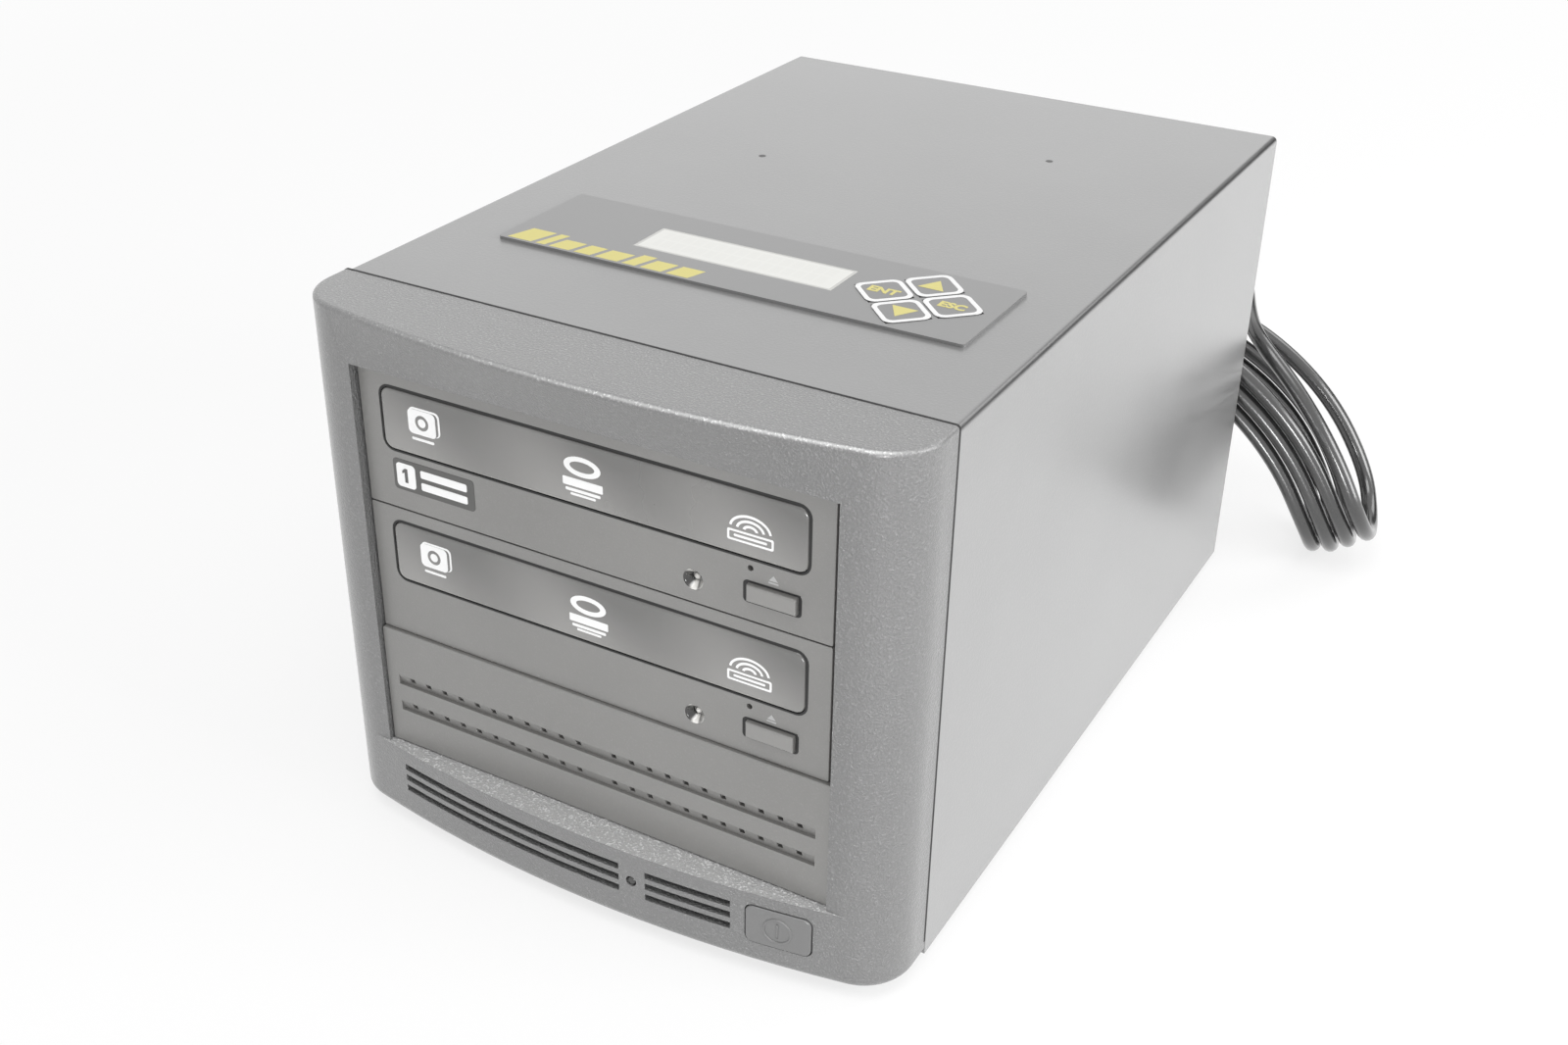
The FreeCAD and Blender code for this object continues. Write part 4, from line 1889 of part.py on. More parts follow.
def make_drives():
    rods, clamps, boards = [], [], []
    for number in range(2):
        for piece, make in DRIVE_PIECES.items():
            label = f"drive_{number + 1}_{piece}"
            place_drive(keep(make(f"{label}_shape"), label), number)
        label = f"drive_{number + 1}_loader_gear"
        gear = keep(make_gear(f"{label}_shape"), label)
        z = drive_tops[number] + gear_top - size.rack_depth
        put(gear, size.drive_x + gear_x, face + size.gear_setback, z)
        for i, x in enumerate(rod_places):
            at = (size.drive_x + x, face + size.front_post, drive_tops[number] - size.rod_drop)
            length = size.rear_post + size.post_depth - size.front_post
            rods.append(rod(f"guide_rod_{number}_{i}", size.rod_radius, at, "y", length))
        clamps.append(make_clamp(number))
        boards.append(make_drive_board(number))
    keep(group("rod_group", rods), "drive_guide_rods")
    keep(group("clamp_group", clamps), "disc_clamps")
    keep(group("board_group", boards), "drive_boards")


def make_clamp(number):
    """A bridge across the shell under its lid, with the puck that presses on the disc's middle."""
    inner = shell_half - size.shell_sheet
    top = drive_tops[number] + shell_top - size.shell_sheet
    low = top - size.clamp_thickness
    y = face + size.disc_setback
    plate = box(f"clamp_{number}", centred(size.drive_x, inner * 2), centred(y, size.clamp_width), (low, top))
    at = (size.drive_x, y, low - size.puck_height)
    return fused(f"clamp_{number}_pieces", [plate, rod(f"puck_{number}", size.puck_radius, at, "z", size.puck_height)])


def make_drive_board(number):
    """The drive's circuit board on the shell's floor, with its sockets in the rear opening."""
    floor = drive_tops[number] + shell_floor
    end = face + shell_end
    z = (floor + size.drive_board_rise, floor + size.drive_board_rise + size.board)
    y = (end - size.shell_sheet - size.fit - size.drive_board_length, end - size.shell_sheet - size.fit)
    parts = [box(f"drive_board_{number}", centred(size.drive_x, size.drive_board_width), y, z)]
    for i, x in enumerate(socket_xs):
        socket_y = (y[1] - size.data_plug_length, end)
        spans = centred(x, size.data_plug_width), socket_y, (floor, floor + size.socket_height)
        parts.append(box(f"drive_socket_{number}_{i}", *spans))
    chip = size.chip_side / 2
    middle = (y[0] + y[1]) / 2
    chip_z = (z[1], z[1] + size.board)
    parts.append(box(f"drive_chip_{number}", centred(size.drive_x, chip), centred(middle, chip), chip_z))
    for i, side in enumerate((1, -1)):
        x = size.drive_x + (size.drive_board_width / 2 - size.standoff_radius) * side
        at = (x, y[0] + size.standoff_radius, floor)
        parts.append(rod(f"drive_board_post_{number}_{i}", size.standoff_radius, at, "z", size.drive_board_rise))
    return carved(f"drive_board_pieces_{number}", parts)


socket_xs = (size.drive_x + size.data_x, size.drive_x + size.power_x)
make_drives()


# Cables and cords. A route is a list of points; its tube has straight runs joined by tangent arcs.

ARC_SHARE = 0.45


def tube_path(points, half_runs=()):
    """The runs and arcs along a route, and the arcs' radii. A half run is cut where another tube goes on."""
    edges, radii = [], []
    start = points[0]
    runs = [(after - before).Length for before, after in zip(points, points[1:])]
    for number in half_runs:
        runs[number] = runs[number] * 2
    for number, corner in enumerate(points[1:-1]):
        into, out = corner - points[number], points[number + 2] - corner
        turn = into.getAngle(out)
        run = min(runs[number:number + 2]) * ARC_SHARE
        radii.append(run / math.tan(turn / 2))
        into.normalize()
        out.normalize()
        first, last = corner - into * run, corner + out * run
        inward = out - into
        inward.normalize()
        bow = radii[-1] / math.cos(turn / 2) - radii[-1]
        edges.append(Part.LineSegment(start, first).toShape())
        edges.append(Part.Arc(first, corner + inward * bow, last).toShape())
        start = last
    edges.append(Part.LineSegment(start, points[-1]).toShape())
    return Part.Wire(edges), radii


def tube(points, radius, half_runs=()):
    """A round tube along a route. Its volume is compared with its section times its length."""
    path, radii = tube_path(points, half_runs)
    direction = points[1] - points[0]
    section = Part.Wire([Part.Circle(points[0], direction, radius).toShape()])
    solid = path.makePipeShell([section], True, False)
    share = solid.Volume / (math.pi * radius ** 2 * path.Length)
    return solid, path, radii, share


def nearest_pass(path, radius):
    """The least gap between stretches of a tube that aren't neighbours along it, measured on points."""
    step = radius / 2
    spots = path.discretize(Distance=step)
    apart = int(math.pi * radius * 2 / step)
    cells = {}
    side = radius * 4
    least = side
    for number, spot in enumerate(spots):
        key = tuple(int(value // side) for value in spot)
        for shift in [(a, b, c) for a in (-1, 0, 1) for b in (-1, 0, 1) for c in (-1, 0, 1)]:
            for other in cells.get(tuple(k + s for k, s in zip(key, shift)), ()):
                if number - other > apart:
                    least = min(least, spot.distanceToPoint(spots[other]) - radius * 2)
        cells.setdefault(key, []).append(number)
    return least


def report_tube(name, path, radii, share, gap=None):
    words = f"{name}: {path.Length:.0f} mm, least radius {min(radii):.1f}, volume share {share:.4f}"
    if gap is not None:
        words += f", least gap to itself {gap:.2f}"
    print(words)


def cable(name, points, radius):
    solid, path, radii, share = tube(points, float(radius))
    report_tube(name, path, radii, share)
    thing = doc.addObject("Part::Feature", name)
    thing.Shape = solid
    return thing


# Data cables and power leads. Each leaves its plug straight, then follows a smooth curve.

CURVE_STEPS = 14
psu_front = rear_front - size.psu_length


def curve_points(start, end, start_reach, end_reach, straight):
    """A route between two ends that both lie along y, with a straight run at each."""
    first, last = [Vector(*map(float, spot)) for spot in (start, end)]
    before, after = float(start_reach), float(end_reach)
    near = first + Vector(0, math.copysign(float(straight), before), 0)
    far = last + Vector(0, math.copysign(float(straight), after), 0)
    poles = [near, near + Vector(0, before, 0), far + Vector(0, after, 0), far]
    curve = Part.BezierCurve()
    curve.setPoles(poles)
    return [first] + curve.toShape().discretize(Number=CURVE_STEPS) + [last]


def make_plug_block(name, x, z, y):
    wide = size.data_plug_width - size.fit * 2
    tall = size.data_plug_height - size.fit * 2
    return box(name, centred(x, wide), (y, y + size.data_plug_length), centred(z, tall))


def make_cables():
    data, power = [], []
    start_y = drive_back + size.data_plug_length
    end_y = board_back + size.data_plug_length
    end_z = board_top + size.data_plug_height / 2
    for number in range(2):
        plug_z = drive_tops[number] + shell_floor + size.socket_height / 2
        x, end_x = socket_xs[0], data_sockets[number]
        data.append(make_plug_block(f"data_plug_{number}", x, plug_z, drive_back))
        data.append(make_plug_block(f"data_plug_low_{number}", end_x, end_z, board_back))
        ends = (x, start_y, plug_z), (end_x, end_y, end_z)
        points = curve_points(*ends, size.cable_bow, size.cable_bow, size.cable_run)
        data.append(cable(f"data_cable_{number}", points, size.data_radius))
        x, end_x = socket_xs[1], size.lead_x + size.lead_pitch * number
        lead_z = psu_z + size.lead_rise - size.lead_pitch * number
        power.append(make_plug_block(f"power_plug_{number}", x, plug_z, drive_back))
        ends = (x, start_y, plug_z), (end_x, psu_front, lead_z)
        points = curve_points(*ends, size.lead_bow, -size.lead_bow, size.cable_run)
        power.append(cable(f"power_lead_{number}", points, size.lead_radius))
    keep(group("data_cable_group", data), "data_cables")
    keep(group("power_lead_group", power), "power_harness")


make_cables()


# Mains cord. Its lead drops from the connector into a hank of four loops that lean on the tower's back:
# each loop is a front run that follows an arch down, a fold at the floor, a back run up and a high fold.

LOOPS = 4
FOLD_CORNERS = 4
RUN_POINTS = 4
LOOP_LIFTS = (5.0, 3.0, 1.0, 0.0)
HIGH_ANGLES = (60.0, 96.0, 96.0, 96.0, 70.0)
LEAD_POINTS = [
    (36, 213, 137.5), (42, 234, 126.5), (54, 240, 107), (67, 227, 93), (77, 205, 89.5), (85, 183, 87.5),
]
TAIL_POINTS = [(44, 202, 59), (27, 204, 46), (13, 206, 30), (-4, 208, 17), (-24, 209, 12), (-42, 209, 12)]


def eased(share):
    return share * share * (3 - 2 * share)


def loop_places(loop):
    """One loop of the hank as places (depth, angle along the arch, distance from the arch's middle)."""
    front = float(back + size.hank_gap + size.cord_radius)
    pitch = float(size.loop_pitch)
    inner = float(size.arch_radius)
    radius = inner + pitch * (LOOPS - 1 - loop)
    fold = float(size.first_fold_radius if loop == 0 else size.fold_radius)
    lean = float(size.first_lean if loop == 0 else size.lean)
    next_lean = float(size.lean)
    depth = fold * 2
    half_step = math.pi / 2 / FOLD_CORNERS
    corner = fold / math.cos(half_step)
    side = fold * math.tan(half_step)
    floor = float(size.arch_depth + size.cord_radius + size.floor_lift)
    middle = radius - lean / 2
    low = math.asin(floor / middle) + fold / middle + math.radians(LOOP_LIFTS[loop])
    high, next_high = math.radians(HIGH_ANGLES[loop]), math.radians(HIGH_ANGLES[loop + 1])
    places = []
    for number in range(RUN_POINTS):
        if loop == 0:
            share = number / RUN_POINTS
            sway = float(size.lead_sway) * (1 - share) ** 2
            places.append((front + sway, high + (low - side / radius - high) * share, radius))
        else:
            share = (number + 1) / (RUN_POINTS + 1)
            places.append((front, high + (low - high) * share + side / radius * (1 - share * 2), radius))
    turns = [half_step * (2 * number + 1) for number in range(FOLD_CORNERS)]
    for turn in turns:
        y = fold - corner * math.cos(turn)
        here = radius - lean * y / depth
        places.append((front + y, low - corner * math.sin(turn) / here, here))
    rear, next_rear = radius - lean, radius - pitch - next_lean
    for number in range(RUN_POINTS):
        share = (number + 1) / (RUN_POINTS + 1)
        ends = low - side / rear, next_high + side / next_rear
        here = rear + (next_rear - rear) * eased(share)
        places.append((front + depth, ends[0] + (ends[1] - ends[0]) * share, here))
    if loop < LOOPS - 1:
        for turn in turns:
            y = fold + corner * math.cos(turn)
            here = radius - pitch - next_lean * y / depth
            places.append((front + y, next_high + corner * math.sin(turn) / here, here))
    return places


def hank_points():
    """The hank's route: every loop's places, set on the arch behind the tower."""
    x, z = float(size.arch_x), -float(size.arch_depth)
    return [
        Vector(x + radius * math.cos(angle), y, z + radius * math.sin(angle))
        for loop in range(LOOPS)
        for y, angle, radius in loop_places(loop)
    ]


grip_end = inlet_back + size.grip_length
relief_end = grip_end + size.relief_length


def make_connector():
    x, z = size.inlet_x, psu_z
    spans = centred(x, size.grip_width), (inlet_back, grip_end), centred(z, size.grip_height)
    grip = box("connector_block", *spans)

    def long_edges(box):
        return box.YLength > float(size.grip_length) / 2

    grip = softened("connector_grip", grip, size.grip_round, long_edges)
    wide = size.inlet_width - (size.inlet_wall + size.fit) * 2
    tall = size.inlet_height - (size.inlet_wall + size.fit) * 2
    nose_y = (inlet_back - size.inlet_well + size.steel, inlet_back)
    nose = box("connector_nose", centred(x, wide), nose_y, centred(z, tall))
    tip = size.cord_radius + size.relief_wall
    relief = rod("connector_relief", size.relief_radius, (x, grip_end, z), "y", size.relief_length, tip)
    cuts = []
    for i, (dx, dz) in enumerate(BLADE_WAYS):
        at_x, at_z = x + size.blade_pitch * dx, z + size.blade_lift * dz
        y = (nose_y[0] - size.fit, nose_y[0] + size.blade_length)
        width, height = size.blade_thickness + size.fit, size.blade_width + size.fit
        cuts.append(box(f"connector_bore_{i}", centred(at_x, width), y, centred(at_z, height)))
    keep(carved("connector", [grip, nose, relief], cuts), "cord_connector")


def make_plug():
    """A moulded plug that lies on the floor with its blades pointing away from the cord."""
    x, y, z = [Length(value, repr(float(value))) for value in TAIL_POINTS[-1]]
    low, neck = x - size.plug_length, x - size.plug_neck
    block = box("plug_block", (low, neck), centred(y, size.plug_width), centred(z, size.plug_height))

    def long_edges(box):
        return box.XLength > float(size.plug_length - size.plug_neck) / 2

    block = softened("plug_moulding", block, size.grip_round, long_edges)
    tip = size.cord_radius + size.relief_wall
    taper = rod("plug_taper", size.plug_height / 2 - size.grip_round, (neck, y, z), "x", size.plug_neck, tip)
    parts = [fused("plug_pieces", [block, taper])]
    blade_z = centred(z + size.plug_blade_rise, size.plug_blade_width)
    for i, side in enumerate((1, -1)):
        at = y + size.plug_blade_pitch / 2 * side
        spans = (low - size.plug_blade_length, low), centred(at, size.plug_blade_thickness), blade_z
        parts.append(box(f"plug_blade_{i}", *spans))
    pin = (low - size.plug_blade_length, y, z - size.plug_pin_drop)
    parts.append(rod("plug_pin", size.plug_pin_radius, pin, "x", size.plug_blade_length))
    keep(group("plug_group", parts), "mains_plug")


def make_cord():
    """The lead, hank and tail. They meet face to face, halfway along the runs between them."""
    lead = [Vector(float(size.inlet_x), float(relief_end), float(psu_z))]
    lead += [Vector(*point) for point in LEAD_POINTS]
    hank = hank_points()
    tail = [Vector(*point) for point in TAIL_POINTS]
    first_join = (lead[-1] + hank[0]) * 0.5
    last_join = (hank[-1] + tail[0]) * 0.5
    whole, _ = tube_path(lead + hank + tail)
    radius = float(size.cord_radius)
    gap = nearest_pass(whole, radius)
    print(f"whole cord: {whole.Length:.0f} mm, least gap to itself {gap:.2f}")
    room = whole.BoundBox
    print("  box", *[f"{value:.1f}" for value in (room.XMin, room.XMax, room.YMin, room.YMax, room.ZMin, room.ZMax)])
    for name, points, half_runs in (
        ("cord_lead", lead + [first_join], (-1,)),
        ("cord_hank", [first_join] + hank + [last_join], (0, -1)),
        ("cord_tail", [last_join] + tail, (0,)),
    ):
        solid, path, radii, share = tube(points, radius, half_runs)
        report_tube(name, path, radii, share, nearest_pass(path, radius))
        print("  radii", " ".join(f"{value:.0f}" for value in radii))
        shaped(name, solid)


make_connector()
make_cord()
make_plug()


# Checks and STEP files

doc.recompute()
for thing in doc.Objects:
    if "Invalid" in thing.State or "Error" in thing.State:
        raise RuntimeError(f"{thing.Label} could not be worked out: {thing.State}")
unsound = [node.Label for node in NODES if node.Shape.isNull() or not node.Shape.isValid()]
if unsound:
    raise RuntimeError(f"no sound shape: {unsound}")
print(f"{len(NODES)} sub-parts, {sum(len(node.Shape.Solids) for node in NODES)} solids")
os.makedirs("parts", exist_ok=True)
for node in NODES:
    node.Shape.exportStep(f"parts/{node.Label}.step")
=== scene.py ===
"""Looks of the disc duplicator tower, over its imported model. Metres, in the model's own frame. Sizes of
the cord and of the small pieces are in millimetres, and are multiplied by MM where they are laid."""
import math

import bpy
import numpy as np
from mathutils import Matrix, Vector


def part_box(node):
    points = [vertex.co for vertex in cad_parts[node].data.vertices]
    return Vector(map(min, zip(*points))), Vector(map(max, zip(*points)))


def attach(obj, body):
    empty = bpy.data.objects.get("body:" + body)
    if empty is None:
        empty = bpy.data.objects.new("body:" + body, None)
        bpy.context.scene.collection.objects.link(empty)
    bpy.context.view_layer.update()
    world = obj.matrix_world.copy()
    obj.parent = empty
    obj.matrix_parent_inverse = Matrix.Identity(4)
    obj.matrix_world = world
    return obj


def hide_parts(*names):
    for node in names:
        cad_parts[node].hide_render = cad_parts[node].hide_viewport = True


MM = 0.001
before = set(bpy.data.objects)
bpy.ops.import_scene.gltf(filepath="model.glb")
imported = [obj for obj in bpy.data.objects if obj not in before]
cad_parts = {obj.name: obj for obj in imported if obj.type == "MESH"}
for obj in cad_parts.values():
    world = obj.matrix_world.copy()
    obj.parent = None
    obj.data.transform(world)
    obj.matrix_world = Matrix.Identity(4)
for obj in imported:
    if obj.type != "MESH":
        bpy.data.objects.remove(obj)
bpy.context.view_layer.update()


# Places on the tower, read from the frame, in millimetres

def corners(node):
    """Lowest and highest corner of a node at rest."""
    return [np.array(corner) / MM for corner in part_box(node)]


def middle_of(node, *directions):
    """The middle of a node's box in the directions asked for: 0 runs across, 1 to the rear and 2 upward."""
    low, high = corners(node)
    return ((low + high) / 2)[list(directions)]


COVER_FRONT = corners("case_cover")[0][1]
COVER_SIDE = corners("case_cover")[1][0]
COVER_TOP = corners("case_cover")[1][2]
BEZEL_TOP = corners("front_bezel")[1][2]
CROWN = corners("front_bezel")[0][1]
FACE = corners("drive_1_faceplate")[0][1]
FILM = corners("keypad_overlay")[1][2] - COVER_TOP
DRIVE_TOPS = {number: corners(f"drive_{number}_faceplate")[1][2] for number in (1, 2)}
KEYS = {name: middle_of(name, 0, 1) for name in ("enter_key", "escape_key", "up_key", "down_key")}


# Camera: the photograph's place, turn and lens

PHOTO_WIDTH = 1600
FOCAL_PIXELS = 1862.327
SENSOR_WIDTH = 36.0
NEAR_CLIP = 0.01
CAMERA_PLACE = (0.246938, -0.475035, 0.364195)
CAMERA_TURN = math.radians(29.08063)
CAMERA_RISE = math.radians(29.68808)
CAMERA_ROLL = math.radians(0.99711)


def tower_camera():
    """Looks from the right and above, against the direction that its turn and rise give. Its roll then
    turns its own right and up about that line of sight."""
    level = math.cos(CAMERA_RISE)
    back = np.array([math.sin(CAMERA_TURN) * level, -math.cos(CAMERA_TURN) * level, math.sin(CAMERA_RISE)])
    right = np.cross(-back, (0, 0, 1.0))
    right /= np.linalg.norm(right)
    up = np.cross(right, -back)
    c, s = math.cos(CAMERA_ROLL), math.sin(CAMERA_ROLL)
    axes = (c * right + s * up, c * up - s * right, back)
    data = bpy.data.cameras.new("tower_camera")
    data.sensor_width = SENSOR_WIDTH
    data.lens = FOCAL_PIXELS * SENSOR_WIDTH / PHOTO_WIDTH
    data.clip_start = NEAR_CLIP
    camera = bpy.data.objects.new("tower_camera", data)
    bpy.context.scene.collection.objects.link(camera)
    place = Matrix([[axis[row] for axis in axes] for row in range(3)]).to_4x4()
    place.translation = CAMERA_PLACE
    camera.matrix_world = place
    bpy.context.scene.camera = camera


tower_camera()


# Mains cord: one smooth line through the lead's points, four loops and the tail's points

LEAD = [(36, 190, 137.7), (36, 213, 137.5), (42, 234, 126.5), (54, 240, 107), (67, 227, 93), (77, 205, 89.5),
        (85, 183, 87.5)]
TAIL = [(44, 202, 59), (27, 204, 46), (13, 206, 30), (-4, 208, 17), (-24, 209, 12), (-42, 209, 12)]
CORD_RADIUS = 3.0
FLOOR_LIFT = 0.8
ARCH_MIDDLE = 31.7
ARCH_DEPTH = 21.0
INNER_RADIUS = 103.4
LOOP_PITCH = 6.9
FRONT_RUN = 151.1
FIRST_SWING = 14.0
FOLDS = (25.0, 23.5, 23.5, 23.5)
LEANS = (10.0, 12.0, 12.0, 12.0)
LIFTS = (5.0, 3.0, 1.0, 0.0)
HIGHS = (60.0, 96.0, 96.0, 96.0, 70.0)
LOOPS, FOLD_POINTS, RUN_POINTS = 4, 4, 4


def hank_loop(loop):
    """A front run down an arch, a half-turn fold at the floor, a back run up and a half-turn high fold. Each
    point has a depth, an angle on the arch and a radius. Fold points are the corners that a smooth curve
    of order 3 rounds into half circles; the runs between them turn evenly, and the rear one eases across
    to the next loop's radius."""
    radius = INNER_RADIUS + LOOP_PITCH * (LOOPS - 1 - loop)
    fold, lean, next_lean = FOLDS[loop], LEANS[loop], LEANS[-1]
    step = math.pi / 2 / FOLD_POINTS
    corner, side, depth = fold / math.cos(step), fold * math.tan(step), fold * 2
    middle = radius - lean / 2
    lowest = ARCH_DEPTH + CORD_RADIUS + FLOOR_LIFT
    low = math.asin(lowest / middle) + fold / middle + math.radians(LIFTS[loop])
    high, next_high = math.radians(HIGHS[loop]), math.radians(HIGHS[loop + 1])
    if loop == 0:
        share = np.arange(RUN_POINTS) / RUN_POINTS
        places = [(FRONT_RUN + FIRST_SWING * (1 - s) ** 2, high + (low - side / radius - high) * s, radius)
                  for s in share]
    else:
        share = (np.arange(RUN_POINTS) + 1) / (RUN_POINTS + 1)
        places = [(FRONT_RUN, high + (low - high) * s + side / radius * (1 - 2 * s), radius) for s in share]
    turns = step * (2 * np.arange(FOLD_POINTS) + 1)
    for turn in turns:
        y = fold - corner * math.cos(turn)
        here = radius - lean * y / depth
        places.append((FRONT_RUN + y, low - corner * math.sin(turn) / here, here))
    rear, next_rear = radius - lean, radius - LOOP_PITCH - next_lean
    start, end = low - side / rear, next_high + side / next_rear
    for s in (np.arange(RUN_POINTS) + 1) / (RUN_POINTS + 1):
        here = rear + (next_rear - rear) * s * s * (3 - 2 * s)
        places.append((FRONT_RUN + depth, start + (end - start) * s, here))
    if loop < LOOPS - 1:
        for turn in turns:
            y = fold + corner * math.cos(turn)
            here = radius - LOOP_PITCH - next_lean * y / depth
            places.append((FRONT_RUN + y, next_high + corner * math.sin(turn) / here, here))
    return [(ARCH_MIDDLE + r * math.cos(a), y, r * math.sin(a) - ARCH_DEPTH) for y, a, r in places]


def mains_cord(material):
    """A smooth curve of order 3 whose control points are the cord's route, with a round section."""
    points = LEAD + [point for loop in range(LOOPS) for point in hank_loop(loop)] + TAIL
    data = bpy.data.curves.new("mains_cord", "CURVE")
    data.dimensions = "3D"
    data.bevel_depth = CORD_RADIUS * MM
    data.bevel_resolution = 5
    data.resolution_u = data.render_resolution_u = 8
    data.use_fill_caps = True
    data.materials.append(material)
    spline = data.splines.new("NURBS")
    spline.points.add(len(points) - 1)
    for point, place in zip(spline.points, points):
        point.co = (*(value * MM for value in place), 1)
    spline.order_u = 3
    spline.use_endpoint_u = True
    cord = bpy.data.objects.new("mains_cord", data)
    bpy.context.scene.collection.objects.link(cord)
    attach(cord, "case")
    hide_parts("cord_lead", "cord_hank", "cord_tail")


# Steps of shader trees

def fill_socket(tree, socket, value):
    """Links another node's output to a socket, or sets the socket's own value."""
    if isinstance(value, bpy.types.NodeSocket):
        tree.links.new(value, socket)
    else:
        socket.default_value = value


def add_node(tree, kind, sockets=(), **settings):
    """A node of a kind, with its settings and its sockets' values or links."""
    node = tree.nodes.new(f"ShaderNode{kind}")
    for name, value in settings.items():
        setattr(node, name, value)
    for label, value in dict(sockets).items():
        fill_socket(tree, node.inputs[label], value)
    return node


def math_node(tree, operation, first, second=0.5, clamp=False):
    node = add_node(tree, "Math", operation=operation, use_clamp=clamp)
    for socket, value in zip(node.inputs, (first, second)):
        fill_socket(tree, socket, value)
    return node.outputs[0]


def plus(tree, first, second, clamp=False):
    return math_node(tree, "ADD", first, second, clamp)


def times(tree, first, second, clamp=False):
    return math_node(tree, "MULTIPLY", first, second, clamp)


def ramp(tree, value, start, slope):
    """How far a value is past its start, times a slope, held between 0 and 1."""
    return times(tree, math_node(tree, "SUBTRACT", value, start), slope, True)


def line(tree, value, slope, rise, clamp=False):
    """A value times a slope, plus a rise."""
    return plus(tree, times(tree, value, slope), rise, clamp)


def mix_colours(tree, factor, first, second):
    node = add_node(tree, "Mix", data_type="RGBA")
    for socket, value in ((node.inputs[0], factor), (node.inputs[6], first), (node.inputs[7], second)):
        fill_socket(tree, socket, value)
    return node.outputs[2]


def coordinates(tree, kind):
    """The three parts of a surface point's own Object place or Normal."""
    return add_node(tree, "SeparateXYZ", {"Vector": add_node(tree, "TexCoord").outputs[kind]}).outputs


def paint_over(material, mask, colour):
    """Mixes a colour over what the material shows so far, by a mask."""
    tree = material.node_tree
    base = tree.nodes["Principled BSDF"].inputs["Base Color"]
    tree.links.new(mix_colours(tree, mask, base.links[0].from_socket, colour), base)


# Shader node groups, each an effect that several materials use

def new_group(name, inputs, outputs):
    group = bpy.data.node_groups.new(name, "ShaderNodeTree")
    for label, default in inputs:
        socket = group.interface.new_socket(label, in_out="INPUT", socket_type="NodeSocketFloat")
        socket.default_value = default
    for label, kind in outputs:
        group.interface.new_socket(label, in_out="OUTPUT", socket_type=kind)
    return group, group.nodes.new("NodeGroupInput"), group.nodes.new("NodeGroupOutput")


def moulded_grain():
    """Fine pits of a spark-eroded mould. Fine noise is the height, and what of it stands out over its middle
    gives bright specks, which are painted glints of the grain; coarse noise gives clouds."""
    group, ins, outs = new_group(
        "moulded_grain",
        [("Scale", 1800.0), ("Strength", 0.3), ("Depth", 0.0002)],
        [("Normal", "NodeSocketVector"), ("Specks", "NodeSocketFloat"), ("Clouds", "NodeSocketFloat")],
    )
    place = add_node(group, "TexCoord").outputs["Object"]
    fine = add_node(group, "TexNoise", {"Vector": place, "Scale": ins.outputs["Scale"], "Detail": 3.0})
    coarse = add_node(group, "TexNoise", {"Vector": place, "Scale": 22.0, "Detail": 4.0})
    bump = add_node(group, "Bump", {"Height": fine.outputs[0], "Strength": ins.outputs["Strength"],
                                    "Distance": ins.outputs["Depth"]})
    group.links.new(bump.outputs[0], outs.inputs["Normal"])
    group.links.new(ramp(group, fine.outputs[0], start=0.56, slope=6.0), outs.inputs["Specks"])
    group.links.new(coarse.outputs[0], outs.inputs["Clouds"])
    return group


def handling_marks():
    """Light scuffs and dust as one mask: the peaks of a noise stretched into thin slanted lines, plus the
    peaks of a soft noise, times an amount."""
    group, ins, outs = new_group("handling_marks", [("Amount", 0.5)], [("Mask", "NodeSocketFloat")])
    place = add_node(group, "TexCoord").outputs["Object"]
    turned = add_node(group, "VectorRotate", {"Vector": place, "Angle": 0.6})
    stretched = add_node(group, "Mapping", {"Vector": turned.outputs[0], "Scale": (260.0, 14.0, 60.0)})
    lines = add_node(group, "TexNoise", {"Vector": stretched.outputs[0], "Scale": 1.0, "Detail": 2.0})
    patches = add_node(group, "TexNoise", {"Vector": place, "Scale": 34.0, "Detail": 5.0, "Roughness": 0.7})
    thin = ramp(group, lines.outputs[0], start=0.66, slope=9.0)
    soft = ramp(group, patches.outputs[0], start=0.55, slope=3.0)
    mask = times(group, plus(group, thin, soft, True), ins.outputs["Amount"], True)
    group.links.new(mask, outs.inputs["Mask"])
    return group


GRAIN, MARKS = moulded_grain(), handling_marks()
WARM = (1.0, 0.985, 0.95)
CLOUD_ROUGHNESS = 0.12
MARK_ROUGHNESS = 0.2
MARK_SHARE = 0.35
LIGHTER_SHARE = 1.16
SPECK_SHARE = 1.5
SPECK_RISE = 0.05


def grey(value, tint=(1.0, 1.0, 1.0)):
    """A colour from its display value, 0 to 255, and a slight tint, by the display's own curve."""
    shade = value / 255
    level = ((shade + 0.055) / 1.055) ** 2.4 if shade > 0.04 else shade / 12.92
    return (*(level * part for part in tint), 1.0)


def brighter(colour, share, rise=0.0):
    """A colour times a share plus a rise, no brighter than white."""
    return tuple(min(1.0, part * share + rise) for part in colour[:3]) + (1.0,)


